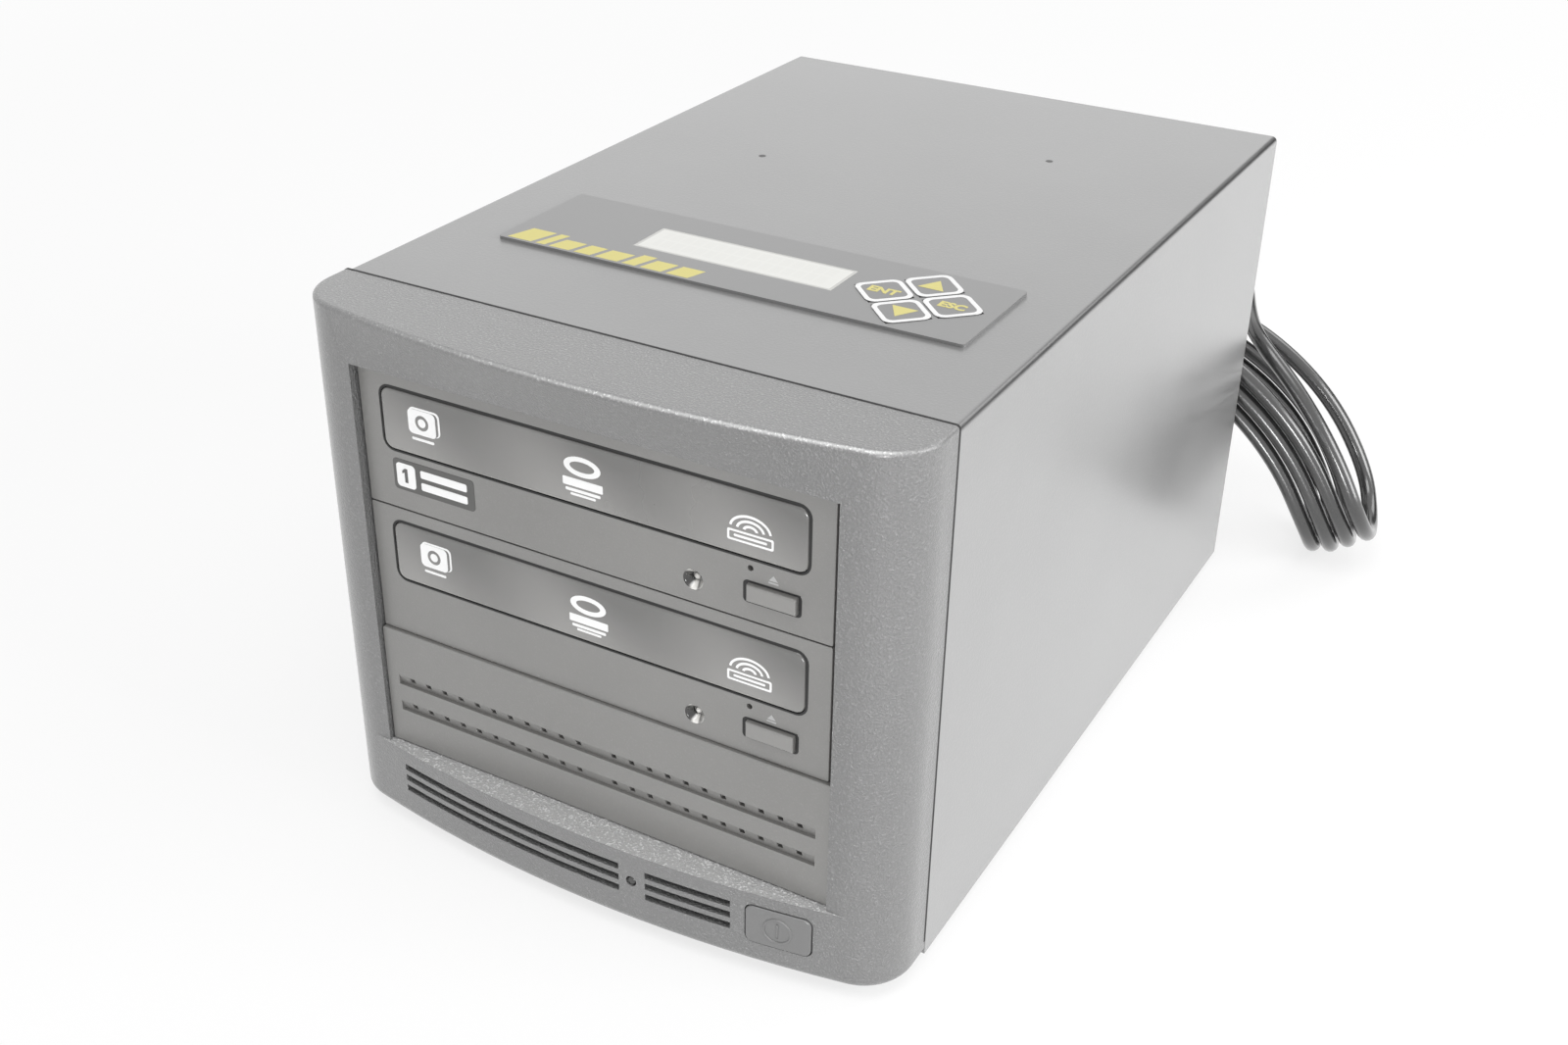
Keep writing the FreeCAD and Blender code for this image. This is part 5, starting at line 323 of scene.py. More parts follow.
def finish_material(name, colour, lighter=None, roughness=0.5, grain=0.25, scale=1800.0, specks=0.0,
                    marks=0.3, metallic=0.0, coat=0.0, coat_roughness=0.15, clouds=0.35, specular=0.5,
                    depth=0.0002):
    """A surface whose colour drifts between two tones with the clouds, and turns brighter at the grain's
    specks, as painted glints, and at handling marks. Clouds and marks also make it rougher, by a small share
    each."""
    material = bpy.data.materials.new(name)
    material.use_nodes = True
    tree = material.node_tree
    shader = tree.nodes["Principled BSDF"]
    lighter = lighter or brighter(colour, LIGHTER_SHARE)
    bright = brighter(colour, SPECK_SHARE, SPECK_RISE)
    pits = add_node(tree, "Group", node_tree=GRAIN)
    for label, value in (("Scale", scale), ("Strength", grain), ("Depth", depth)):
        pits.inputs[label].default_value = value
    worn = add_node(tree, "Group", node_tree=MARKS)
    worn.inputs["Amount"].default_value = marks
    cloud, mark = pits.outputs["Clouds"], worn.outputs["Mask"]
    drift = mix_colours(tree, times(tree, cloud, clouds), colour, lighter)
    speckled = mix_colours(tree, times(tree, pits.outputs["Specks"], specks), drift, bright)
    dusty = mix_colours(tree, times(tree, mark, MARK_SHARE), speckled, bright)
    tree.links.new(dusty, shader.inputs["Base Color"])
    rough = line(tree, cloud, CLOUD_ROUGHNESS, roughness - CLOUD_ROUGHNESS / 2)
    rough = plus(tree, rough, times(tree, mark, MARK_ROUGHNESS), True)
    tree.links.new(rough, shader.inputs["Roughness"])
    tree.links.new(pits.outputs["Normal"], shader.inputs["Normal"])
    shader.inputs["Metallic"].default_value = metallic
    shader.inputs["Specular IOR Level"].default_value = specular
    shader.inputs["Coat Weight"].default_value = coat
    shader.inputs["Coat Roughness"].default_value = coat_roughness
    return material


def node_wears(material, *names):
    for name in names:
        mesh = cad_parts[name].data
        mesh.materials.clear()
        mesh.materials.append(material)


LEDGE = 0.0275
PAINTED_LIGHT_TOP = 0.06
HIGHLIGHT_STRENGTH = 1.3


def painted_upper_light(material):
    """Painted light: paler faces that look up, paler still low down but not below the ledge, and a painted
    highlight where the front bends into the top: twice the product of the normal's two parts, cubed, growing
    towards the right. The grain's specks break both up."""
    tree = material.node_tree
    pits = next(node for node in tree.nodes if node.type == "GROUP" and node.node_tree == GRAIN)
    way = coordinates(tree, "Normal")
    place = coordinates(tree, "Object")
    upward = ramp(tree, way[2], start=0.5, slope=2.5)
    low = times(tree, ramp(tree, place[2], start=PAINTED_LIGHT_TOP, slope=-50.0),
                math_node(tree, "GREATER_THAN", place[2], LEDGE))
    thick = times(tree, upward, line(tree, low, slope=0.95, rise=0.16))
    both = times(tree, times(tree, way[1], way[2]), -2.0, True)
    rightward = line(tree, place[0], slope=7.0, rise=0.6, clamp=True)
    highlight = times(tree, times(tree, math_node(tree, "POWER", both, 3.0), rightward), HIGHLIGHT_STRENGTH)
    grains = line(tree, pits.outputs["Specks"], slope=1.1, rise=0.45)
    # painted light on upward faces and the painted highlight at the bend, broken up by the grain's specks
    dust = times(tree, math_node(tree, "MAXIMUM", thick, highlight), grains, True)
    paint_over(material, dust, grey(232))


BEND_SHADE = 0.85


def painted_bend_shade(material):
    """Painted shade where the top bends into a side: twice the product of the normal's two
    parts, squared."""
    tree = material.node_tree
    way = coordinates(tree, "Normal")
    both = math_node(tree, "ABSOLUTE", times(tree, way[0], way[2]))
    bend = math_node(tree, "POWER", times(tree, both, 2.0, True), 2.0)
    paint_over(material, times(tree, bend, BEND_SHADE), grey(34))


DOOR_MARGIN = 0.0002
DOOR_FOOT = corners("drive_2_tray_front")[0][2] * MM - DOOR_MARGIN
DOOR_HEIGHT = 0.0192
DOOR_PITCH = (DRIVE_TOPS[1] - DRIVE_TOPS[2]) * MM
WAVE_START = -0.062
WAVE_LENGTH = 0.056
WAVE_LEAN = 1.5
WAVE_SHARE = 0.2
DOOR_SHARE = 0.8


def painted_door_reflection(material):
    """Painted reflection: soft bands over the tray fronts, darker up, paler down, and a cosine wave across
    that leans with the height. The height's share is the fraction of z over the drives' pitch, so both
    doors look alike."""
    tree = material.node_tree
    place = coordinates(tree, "Object")
    steps = times(tree, math_node(tree, "SUBTRACT", place[2], DOOR_FOOT), 1 / DOOR_PITCH)
    height = times(tree, math_node(tree, "FRACT", steps), DOOR_PITCH / DOOR_HEIGHT, True)
    across = times(tree, math_node(tree, "SUBTRACT", place[0], WAVE_START), 2 * math.pi / WAVE_LENGTH)
    wave = math_node(tree, "COSINE", plus(tree, across, times(tree, height, WAVE_LEAN)))
    tone = line(tree, height, slope=-0.55, rise=0.62)
    tone = plus(tree, tone, times(tree, wave, WAVE_SHARE), True)
    paint_over(material, DOOR_SHARE, mix_colours(tree, tone, grey(78, WARM), grey(146, WARM)))


# Finishes of the tower's own pieces

bezel_plastic = finish_material(
    "bezel_plastic", grey(98), grey(114), roughness=0.3, grain=1.0, scale=1500.0, specks=0.75, marks=0.0,
    coat=1.0, coat_roughness=0.26, specular=1.0, depth=0.0006)
painted_upper_light(bezel_plastic)
panel_plastic = finish_material(
    "panel_plastic", grey(108, WARM), grey(130, WARM), roughness=0.36, grain=0.5, scale=1900.0, specks=0.25,
    marks=0.0, coat=0.5, coat_roughness=0.34, specular=1.0, clouds=0.7)
drive_plastic = finish_material(
    "drive_plastic", grey(104, WARM), grey(130, WARM), roughness=0.33, grain=0.4, scale=2400.0, specks=0.25,
    marks=0.0, coat=0.5, coat_roughness=0.3, specular=1.0, clouds=0.8)
tray_door_plastic = finish_material(
    "tray_door_plastic", grey(80, WARM), grey(146, WARM), roughness=0.26, grain=0.12, scale=2600.0,
    specks=0.05, marks=0.0, coat=0.7, coat_roughness=0.2, specular=1.0, clouds=1.0)
painted_door_reflection(tray_door_plastic)
cover_enamel = finish_material(
    "cover_enamel", grey(116), grey(138), roughness=0.32, grain=0.35, scale=1300.0, specks=0.15, marks=0.0,
    coat=0.9, coat_roughness=0.22, specular=1.0, clouds=0.8)
painted_bend_shade(cover_enamel)
overlay_film = finish_material(
    "overlay_film", grey(116), grey(132), roughness=0.36, grain=0.1, scale=2600.0, specks=0.05, marks=0.0,
    coat=0.6, coat_roughness=0.25, specular=1.0)
key_film = finish_material(
    "key_film", grey(106), grey(118), roughness=0.36, grain=0.1, scale=2600.0, marks=0.1, coat=0.6,
    coat_roughness=0.25, specular=1.0)
button_plastic = finish_material(
    "button_plastic", grey(100), grey(112), roughness=0.36, grain=0.3, scale=2000.0, specks=0.1, marks=0.4,
    coat=0.4, coat_roughness=0.3, specular=1.0)
eject_plastic = finish_material(
    "eject_plastic", grey(122, WARM), grey(134, WARM), roughness=0.3, grain=0.15, scale=2400.0, coat=0.5,
    coat_roughness=0.2, specular=1.0)
sheath_vinyl = finish_material(
    "sheath_vinyl", grey(48), grey(62), roughness=0.24, grain=0.1, scale=900.0, marks=0.12, coat=0.6,
    coat_roughness=0.1, specular=0.8, depth=0.0004)
zinc_plate = finish_material(
    "zinc_plate", grey(186), grey(202), roughness=0.34, grain=0.15, scale=420.0, metallic=1.0, clouds=0.8)
drive_tin = finish_material(
    "drive_tin", grey(176), grey(190), roughness=0.3, grain=0.1, scale=300.0, marks=0.4, metallic=1.0)
screw_zinc = finish_material(
    "screw_zinc", grey(190), grey(205), roughness=0.26, grain=0.1, scale=1500.0, metallic=1.0)
bright_steel = finish_material(
    "bright_steel", grey(208), grey(218), roughness=0.14, grain=0.04, scale=900.0, metallic=1.0, marks=0.1)
foot_rubber = finish_material("foot_rubber", grey(34), grey(46), roughness=0.8, grain=0.5, scale=1400.0)
black_moulding = finish_material("black_moulding", grey(36), grey(50), roughness=0.45, grain=0.3)
loader_moulding = finish_material("loader_moulding", grey(44), grey(58), grain=0.3, scale=2000.0)
board_mask = finish_material(
    "board_mask", (0.02, 0.11, 0.05, 1), (0.04, 0.17, 0.08, 1), roughness=0.35, grain=0.2, scale=700.0,
    specks=0.6, coat=0.3)
data_jacket = finish_material("data_jacket", (0.42, 0.03, 0.02, 1), roughness=0.4, grain=0.2, scale=1200.0)
lead_jacket = finish_material("lead_jacket", (0.62, 0.43, 0.05, 1), roughness=0.4, grain=0.2, scale=1200.0)
lamp_lens = finish_material(
    "lamp_lens", grey(34, (1, 1, 0.93)), grey(50), roughness=0.12, grain=0.05, scale=1200.0, coat=0.8,
    coat_roughness=0.05)
white_print = finish_material("white_print", grey(232), grey(240), grain=0.1, scale=2600.0, marks=0.2)
yellow_print = finish_material(
    "yellow_print", grey(208, (1.0, 0.9, 0.32)), grey(218, (1.0, 0.92, 0.38)), grain=0.1, scale=2600.0,
    marks=0.2)
label_vinyl = finish_material(
    "label_vinyl", grey(72, WARM), grey(88, WARM), roughness=0.34, grain=0.1, scale=2600.0, coat=0.5,
    coat_roughness=0.2)
mark_print = finish_material("mark_print", grey(168), grey(180), grain=0.1, scale=2600.0, marks=0.2)
dimple_shade = finish_material("dimple_shade", grey(84), grey(96), grain=0.3, scale=1300.0)
# black for the painted shadows of gaps round the doors, buttons and seam
painted_shadow_black = finish_material("painted_shadow_black", grey(26), grey(36), roughness=0.6, grain=0.3)
# a clear lens made pale: its paleness is a painted glint
bead_painted_glint = finish_material(
    "bead_painted_glint", grey(206, WARM), grey(226, WARM), roughness=0.1, grain=0.02, scale=1200.0, coat=1.0,
    coat_roughness=0.04)

node_wears(bezel_plastic, "front_bezel")
node_wears(panel_plastic, "bay_blank_panel")
node_wears(cover_enamel, "case_cover")
node_wears(overlay_film, "keypad_overlay")
node_wears(key_film, *KEYS)
node_wears(button_plastic, "power_button")
node_wears(lamp_lens, "power_light", "drive_1_lamp", "drive_2_lamp")
node_wears(zinc_plate, "case_chassis", "drive_brackets", "psu_case")
node_wears(screw_zinc, "cover_screws", "drive_screws", "rear_panel_screws", "board_standoffs")
node_wears(bright_steel, "fan_guards", "drive_guide_rods")
node_wears(foot_rubber, "rubber_feet")
node_wears(black_moulding, "power_switch", "mains_inlet", "psu_fan_frame", "psu_fan_rotor",
           "rear_fan_frame", "rear_fan_rotor")
node_wears(board_mask, "display_module", "keypad_board", "controller_board", "psu_board", "drive_boards")
node_wears(data_jacket, "data_cables")
node_wears(lead_jacket, "power_harness")
node_wears(sheath_vinyl, "cord_connector", "cord_lead", "cord_hank", "cord_tail")
node_wears(loader_moulding, "disc_clamps")
for number in DRIVE_TOPS:
    drive = f"drive_{number}_"
    node_wears(drive_plastic, drive + "faceplate")
    node_wears(tray_door_plastic, drive + "tray_front")
    node_wears(eject_plastic, drive + "eject_button")
    node_wears(drive_tin, drive + "chassis")
    node_wears(loader_moulding, drive + "deck", drive + "tray", drive + "turntable", drive + "sled",
               drive + "loader_gear")


WINDOW_X, WINDOW_Y = middle_of("display_window", 0, 1) * MM
CELL_ACROSS = 0.00365
CELL_ALONG = 0.0062
CELL_GAPS = (0.18, 0.16)
CELL_SHADE = 0.06
RIM_SHADE = 0.7
FIELD_HALF = (0.0285, 0.0058)
PANE_HALF = (0.0316, 0.0073)


def window_glass():
    """Pale pane of the display with a greyer rim and two faint rows of character cells. A cell is where
    the fractions of x and y over the cells' pitches pass their gaps, inside a field round the middle."""
    material = finish_material(
        "window_glass", grey(216, (1, 1, 0.95)), grey(226, (1, 1, 0.96)), roughness=0.2, grain=0.03,
        scale=2600.0, marks=0.08, coat=1.0, coat_roughness=0.06)
    tree = material.node_tree
    place = coordinates(tree, "Object")
    off_x = math_node(tree, "SUBTRACT", place[0], WINDOW_X)
    off_y = math_node(tree, "SUBTRACT", place[1], WINDOW_Y)
    far_x, far_y = (math_node(tree, "ABSOLUTE", off) for off in (off_x, off_y))
    cell_x = math_node(tree, "FRACT", times(tree, place[0], 1 / CELL_ACROSS))
    cell_y = math_node(tree, "FRACT", times(tree, off_y, 1 / CELL_ALONG))
    inside = times(tree, math_node(tree, "GREATER_THAN", cell_x, CELL_GAPS[0]),
                   math_node(tree, "GREATER_THAN", cell_y, CELL_GAPS[1]))
    field = times(tree, math_node(tree, "LESS_THAN", far_x, FIELD_HALF[0]),
                  math_node(tree, "LESS_THAN", far_y, FIELD_HALF[1]))
    rim = math_node(tree, "MAXIMUM", math_node(tree, "GREATER_THAN", far_x, PANE_HALF[0]),
                    math_node(tree, "GREATER_THAN", far_y, PANE_HALF[1]))
    cells = times(tree, times(tree, inside, field), CELL_SHADE)
    shaded = math_node(tree, "MAXIMUM", cells, times(tree, rim, RIM_SHADE))
    paint_over(material, shaded, grey(168, (1, 1, 0.94)))
    return material


node_wears(window_glass(), "display_window")
mains_cord(sheath_vinyl)


PLUG_NOSE = -0.0681


def plug_material():
    """Moulded sheath, with bare metal where the blades stand out past the plug's nose."""
    material = sheath_vinyl.copy()
    material.name = "plug_material"
    tree = material.node_tree
    metal = math_node(tree, "LESS_THAN", coordinates(tree, "Object")[0], PLUG_NOSE)
    paint_over(material, metal, grey(212))
    tree.links.new(metal, tree.nodes["Principled BSDF"].inputs["Metallic"])
    return material


node_wears(plug_material(), "mains_plug")


# Closed meshes: bands, plates and rows of points joined round and round

def mesh_piece(name, points, faces, material, body, slot, smooth=False):
    mesh = bpy.data.meshes.new(name)
    mesh.from_pydata(np.asarray(points, float).tolist(), [], [list(map(int, face)) for face in faces])
    mesh.validate()
    piece = bpy.data.objects.new(name, mesh)
    bpy.context.scene.collection.objects.link(piece)
    mesh.materials.append(material)
    mesh.polygons.foreach_set("use_smooth", np.full(len(mesh.polygons), smooth))
    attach(piece, body)
    return piece


def band(outer, inner, low, high, lay):
    """A flat closed band between two outlines of as many points, from a low to a high level."""
    flat = [np.column_stack([loop, np.full(len(loop), level)])
            for loop in (outer, inner) for level in (low, high)]
    count = len(outer)
    ring = np.arange(count)
    after = (ring + 1) % count
    outer_low, outer_high, inner_low, inner_high = (count * row for row in range(4))
    pairs = [(outer_high, inner_high), (inner_high, inner_low), (inner_low, outer_low),
             (outer_low, outer_high)]
    faces = [(first + a, first + b, second + b, second + a)
             for first, second in pairs for a, b in zip(ring, after)]
    return lay(np.vstack(flat)), faces


def plate(outline, low, high, lay):
    """A flat closed plate of an outline, from a low to a high level."""
    count = len(outline)
    points = np.vstack([np.column_stack([outline, np.full(count, level)]) for level in (low, high)])
    ring = np.arange(count)
    after = (ring + 1) % count
    sides = [(a, b, count + b, count + a) for a, b in zip(ring, after)]
    return lay(points), [tuple(ring[::-1]), tuple(ring + count)] + sides


def grid_faces(rows, columns, close_rows=False, close_columns=False):
    """The four corners of each cell in a grid of points, numbered row after row. A closed grid joins its
    last row or column to its first."""
    cells_down, cells_along = rows - 1 + close_rows, columns - 1 + close_columns
    i, j = np.meshgrid(np.arange(cells_down), np.arange(cells_along), indexing="ij")
    k, m = (i + 1) % rows, (j + 1) % columns
    return np.stack([i * columns + j, k * columns + j, k * columns + m, i * columns + m], 2).reshape(-1, 4)


def joined_parts(parts):
    points, faces, start = [], [], 0
    for part_points, part_faces in parts:
        points.append(part_points)
        faces += [tuple(index + start for index in face) for face in part_faces]
        start += len(part_points)
    return np.vstack(points), faces


CORNER_STEPS = 6


def rounded_outline(width, height, radius, centre, turn=0.0, steps=CORNER_STEPS):
    """A rectangle with quarter-circle corners, anticlockwise, turned about its centre."""
    quarter = np.linspace(0, math.pi / 2, steps)
    points = []
    for start, (a, b) in enumerate(((1, 1), (-1, 1), (-1, -1), (1, -1))):
        angle = quarter + start * math.pi / 2
        spot = np.array([a * (width / 2 - radius), b * (height / 2 - radius)])
        points.append(spot + radius * np.column_stack([np.cos(angle), np.sin(angle)]))
    points = np.vstack(points)
    c, s = math.cos(turn), math.sin(turn)
    return points @ np.array([[c, s], [-s, c]]) + np.asarray(centre)


def bar_outline(width, height, centre, cut=0.2):
    """A bar whose corners are cut."""
    return rounded_outline(width, height, cut, centre, steps=2)


def ring_outline(radius, centre, stretch=1.0, steps=32):
    """A circle, or an oval where it is stretched sideways."""
    return arc_outline(radius, centre, stretch, np.arange(steps) * 2 * math.pi / steps)


def arc_outline(radius, centre, stretch, angle):
    return np.column_stack([np.cos(angle) * radius * stretch, np.sin(angle) * radius]) + np.asarray(centre)


def on_top(points):
    """Lays an outline's x and y, and its level above the cover's top."""
    return np.column_stack([points[:, 0], points[:, 1], COVER_TOP + points[:, 2]]) * MM


def on_front(depth):
    """Lays an outline's x and z, and its level out of a face at a depth."""
    def lay(points):
        return np.column_stack([points[:, 0], depth - points[:, 2], points[:, 1]]) * MM
    return lay


# Prints of the top: key frames, arrows, words and the bars

INK = 0.1
KEY_FRAME = ((13.8, 2.8), (11.0, 1.9))
FRAME_LEVEL = 0.16
ARROW_LEVEL = 0.15
ARROW_HALF, ARROW_FOOT, ARROW_TIP = 3.9, 2.6, 4.0
WORD_LEVEL = 0.2
WORD_SIZE = 3.4
WORD_BOLD = 0.16
WORD_STRETCH = 1.42


def key_frames():
    """White rounded frames of the film, printed over each key's rim; like the keys, each is a square that
    stands on its corner."""
    low = FILM + FRAME_LEVEL
    for name, centre in KEYS.items():
        outer, inner = (rounded_outline(side, side, radius, centre, math.pi / 4)
                        for side, radius in KEY_FRAME)
        points, faces = band(outer, inner, low, low + INK, on_top)
        mesh_piece(f"{name}_frame", points, faces, white_print, "case", "overlay_film")


def key_arrows():
    low = FILM + ARROW_LEVEL
    for name, way in (("up_key", 1), ("down_key", -1)):
        x, y = KEYS[name]
        foot = y - ARROW_FOOT * way
        half, tip = ARROW_HALF * way, y + ARROW_TIP * way
        outline = np.array([(x - half, foot), (x + half, foot), (x, tip)])
        mesh_piece(f"{name}_arrow", *plate(outline, low, low + INK, on_top), yellow_print, name, "key_cap")


def key_word(name, word):
    """A plain word, made a mesh, then laid on its key."""
    data = bpy.data.curves.new(f"{name}_word", "FONT")
    data.body, data.size, data.extrude = word, WORD_SIZE, INK / 2
    data.align_x = data.align_y = "CENTER"
    data.offset = WORD_BOLD
    text = bpy.data.objects.new(f"{name}_word_line", data)
    bpy.context.scene.collection.objects.link(text)
    bpy.context.view_layer.update()
    mesh = bpy.data.meshes.new_from_object(text.evaluated_get(bpy.context.evaluated_depsgraph_get()))
    bpy.data.objects.remove(text)
    points = np.array([vertex.co for vertex in mesh.vertices]).reshape(-1, 3)
    faces = [tuple(face.vertices) for face in mesh.polygons]
    centre = (points.max(0) + points.min(0)) / 2
    stretch = np.array([WORD_STRETCH, WORD_STRETCH, 1.0])
    points = (points - centre) * stretch + np.array([*KEYS[name], FILM + WORD_LEVEL])
    mesh_piece(f"{name}_word", on_top(points), faces, yellow_print, name, "key_cap")


BARS = ((8.2, 9.2), (3.0, 9.2), (7.0, 6.6), (5.6, 6.6), (7.6, 6.6), (4.4, 8.2), (7.0, 6.6), (7.2, 6.6))
BARS_START = (-70.4, -73.7)
BAR_GAP = 1.7
BAR_SLANT = 0.3
THIN_FILM = 0.03


def overlay_bars():
    """A plain row of slanted bars, of unlike widths and heights, where a name would stand."""
    x, low = BARS_START
    parts = []
    for wide, tall in BARS:
        lean = tall * BAR_SLANT
        outline = np.array([(x, low), (x + wide, low), (x + wide + lean, low + tall), (x + lean, low + tall)])
        parts.append(plate(outline, FILM, FILM + THIN_FILM, on_top))
        x += wide + BAR_GAP
    mesh_piece("overlay_bars", *joined_parts(parts), yellow_print, "case", "overlay_film")


# Prints of the drives. A mark's place is across the tower and below its drive's top.

PRINT = 0.06
BACK_PRINT = 0.05
THIN_PRINT = 0.04
TILE_X, TILE_DROP = -53.6, 12.6
TILE, TILE_HOLE, TILE_DISC = (9.4, 7.4, 1.4), 2.3, 1.3
BACK_TILE, BACK_TILE_INSIDE = (10.4, 7.6, 1.6), (9.8, 7.0, 1.4)
BACK_SHIFT, BACK_INSIDE_SHIFT = (1.0, 0.6), (0.7, 0.3)
TILE_BAR, TILE_BAR_DROP = (7.6, 0.8), 5.2
OVAL_X, OVAL_DROP = -0.9, 11.6
OVAL_RIM, OVAL_HOLE = (2.9, 2.0), (1.5, 2.6)
OVAL_BARS = ((12.6, 2.4, 16.6), (11.0, 0.9, 18.9), (8.0, 0.7, 20.1))
ARC_X, ARC_DROP = 49.6, 15.6
ARC_RADII = (1.6, 3.0, 4.4)
ARC_POINTS = 24
ARC_WIDTH, ARC_STRETCH, ARC_EASE, ARC_CUT = 0.75, 1.4, 0.3, 0.12
ARC_FRAME, ARC_FRAME_INSIDE, ARC_FRAME_DROP = (13.4, 3.2, 0.5), (12.2, 2.0, 0.3), 2.2
ARC_BAR = (9.6, 0.7)


def tile_mark(top, lay):
    """A tile with a ring in it, the rim of another behind it, and a bar below. The tile's hole has as many
    points as its four corners."""
    centre = np.array([TILE_X, top - TILE_DROP])
    hole = ring_outline(TILE_HOLE, centre, steps=CORNER_STEPS * 4)
    return [
        band(rounded_outline(*TILE, centre), hole, 0, PRINT, lay),
        plate(ring_outline(TILE_DISC, centre), 0, PRINT, lay),
        band(rounded_outline(*BACK_TILE, centre + BACK_SHIFT),
             rounded_outline(*BACK_TILE_INSIDE, centre + BACK_INSIDE_SHIFT), 0, BACK_PRINT, lay),
        plate(bar_outline(*TILE_BAR, centre - (0, TILE_BAR_DROP)), 0, PRINT, lay),
    ]


def oval_mark(top, lay):
    """An oval ring over a block and two thinner bars."""
    centre = (OVAL_X, top - OVAL_DROP)
    rim, hole = (ring_outline(radius, centre, stretch) for radius, stretch in (OVAL_RIM, OVAL_HOLE))
    parts = [band(rim, hole, 0, PRINT, lay)]
    for wide, tall, drop in OVAL_BARS:
        parts.append(plate(bar_outline(wide, tall, (OVAL_X, top - drop)), 0, PRINT, lay))
    return parts


def arc_mark(top, lay):
    """Three arcs over a frame with a bar in it. An arc's inner line is stretched a little more than its
    outer one, so that the arc is about as wide at its ends as at its top."""
    middle = np.array([ARC_X, top - ARC_DROP])
    angle = np.linspace(ARC_CUT, math.pi - ARC_CUT, ARC_POINTS)
    parts = []
    for radius in ARC_RADII:
        outer = arc_outline(radius, middle, ARC_STRETCH, angle)
        inner = arc_outline(radius - ARC_WIDTH, middle, ARC_STRETCH * radius / (radius - ARC_EASE), angle)
        parts.append(plate(np.vstack([outer, inner[::-1]]), 0, PRINT, lay))
    centre = middle - (0, ARC_FRAME_DROP)
    frame_rim, frame_hole = (rounded_outline(*shape, centre) for shape in (ARC_FRAME, ARC_FRAME_INSIDE))
    parts.append(band(frame_rim, frame_hole, 0, PRINT, lay))
    parts.append(plate(bar_outline(*ARC_BAR, centre), 0, PRINT, lay))
    return parts


def tray_marks(number):
    """Plain white marks that ride on a tray's front, from left to right."""
    top = DRIVE_TOPS[number]
    lay = on_front(corners(f"drive_{number}_tray_front")[0][1])
    parts = tile_mark(top, lay) + oval_mark(top, lay) + arc_mark(top, lay)
    mesh_piece(f"tray_{number}_marks", *joined_parts(parts), white_print, f"tray_{number}", "drive_face")


EJECT_HALF, EJECT_FOOT, EJECT_TIP = 1.3, 1.4, 3.0
EJECT_BAR, EJECT_BAR_RISE = (2.9, 0.45), 0.8


def eject_mark(number):
    """A small triangle over a bar, printed above an eject button."""
    x = middle_of(f"drive_{number}_eject_button", 0)[0]
    low = corners(f"drive_{number}_eject_button")[1][2]
    lay = on_front(FACE)
    foot = low + EJECT_FOOT
    triangle = np.array([(x - EJECT_HALF, foot), (x + EJECT_HALF, foot), (x, low + EJECT_TIP)])
    bar = bar_outline(*EJECT_BAR, (x, low + EJECT_BAR_RISE), cut=0.1)
    parts = [plate(outline, 0, THIN_PRINT, lay) for outline in (triangle, bar)]
    mesh_piece(f"eject_{number}_mark", *joined_parts(parts), mark_print, "case", "drive_face")


DOOR_SHADOW = (0.8, 3.7, 0.1)
DOOR_COVERED = (0.15, 3.1, 0)
EJECT_SHADOW, EJECT_SHADOW_SHIFT = (17.0, 6.6, 1.3), (-0.3, -0.2)
EJECT_COVERED = (14.7, 5.2, 0.9)


def drive_painted_shadows(number):
    """Painted shadows round a tray's front and an eject button: dark flat bands between two rounded outlines.
    A door's outlines are given by how far they stand out, their corner's radius and their shift."""
    low, high = (corner[[0, 2]] for corner in corners(f"drive_{number}_tray_front"))
    middle, (wide, tall) = (low + high) / 2, high - low
    lay = on_front(FACE)
    outer, inner = (rounded_outline(wide + gap * 2, tall + gap * 2, radius, middle + shift)
                    for gap, radius, shift in (DOOR_SHADOW, DOOR_COVERED))
    door = band(outer, inner, 0, THIN_PRINT, lay)
    middle = middle_of(f"drive_{number}_eject_button", 0, 2)
    button = band(rounded_outline(*EJECT_SHADOW, middle + EJECT_SHADOW_SHIFT),
                  rounded_outline(*EJECT_COVERED, middle), 0, THIN_PRINT, lay)
    mesh_piece(f"drive_{number}_gaps", *joined_parts([door, button]), painted_shadow_black, "case", "black_plastic")


# The lights' wells, with painted glints

CONE_MOUTH, CONE_THROAT = 3.0, 1.35
CONE_FRONT, CONE_BACK = 0.12, 2.45
CONE_WALL = 0.08
CONE_TURNS, CONE_RINGS = 48, 6
# painted glints of the cone: angle, width and height of each bell curve
WEDGES = ((2.05, 0.22, 1.0), (4.6, 0.2, 1.1), (4.95, 0.1, 0.8), (0.1, 0.5, 0.45), (5.6, 0.3, 0.4))


def reflector_glints():
    """Moulded cone with painted reflections: bright glints in wedges between dark ones, read from the piece's
    own tone at each point.
    """
    material = finish_material(
        "reflector_glints", grey(40), roughness=0.12, grain=0.03, scale=2600.0, marks=0.05, coat=1.0,
        coat_roughness=0.06)
    tree = material.node_tree
    tone = add_node(tree, "Attribute", attribute_name="tone")
    shade = mix_colours(tree, tone.outputs["Fac"], grey(36, WARM), grey(236, WARM))
    tree.links.new(shade, tree.nodes["Principled BSDF"].inputs["Base Color"])
    return material


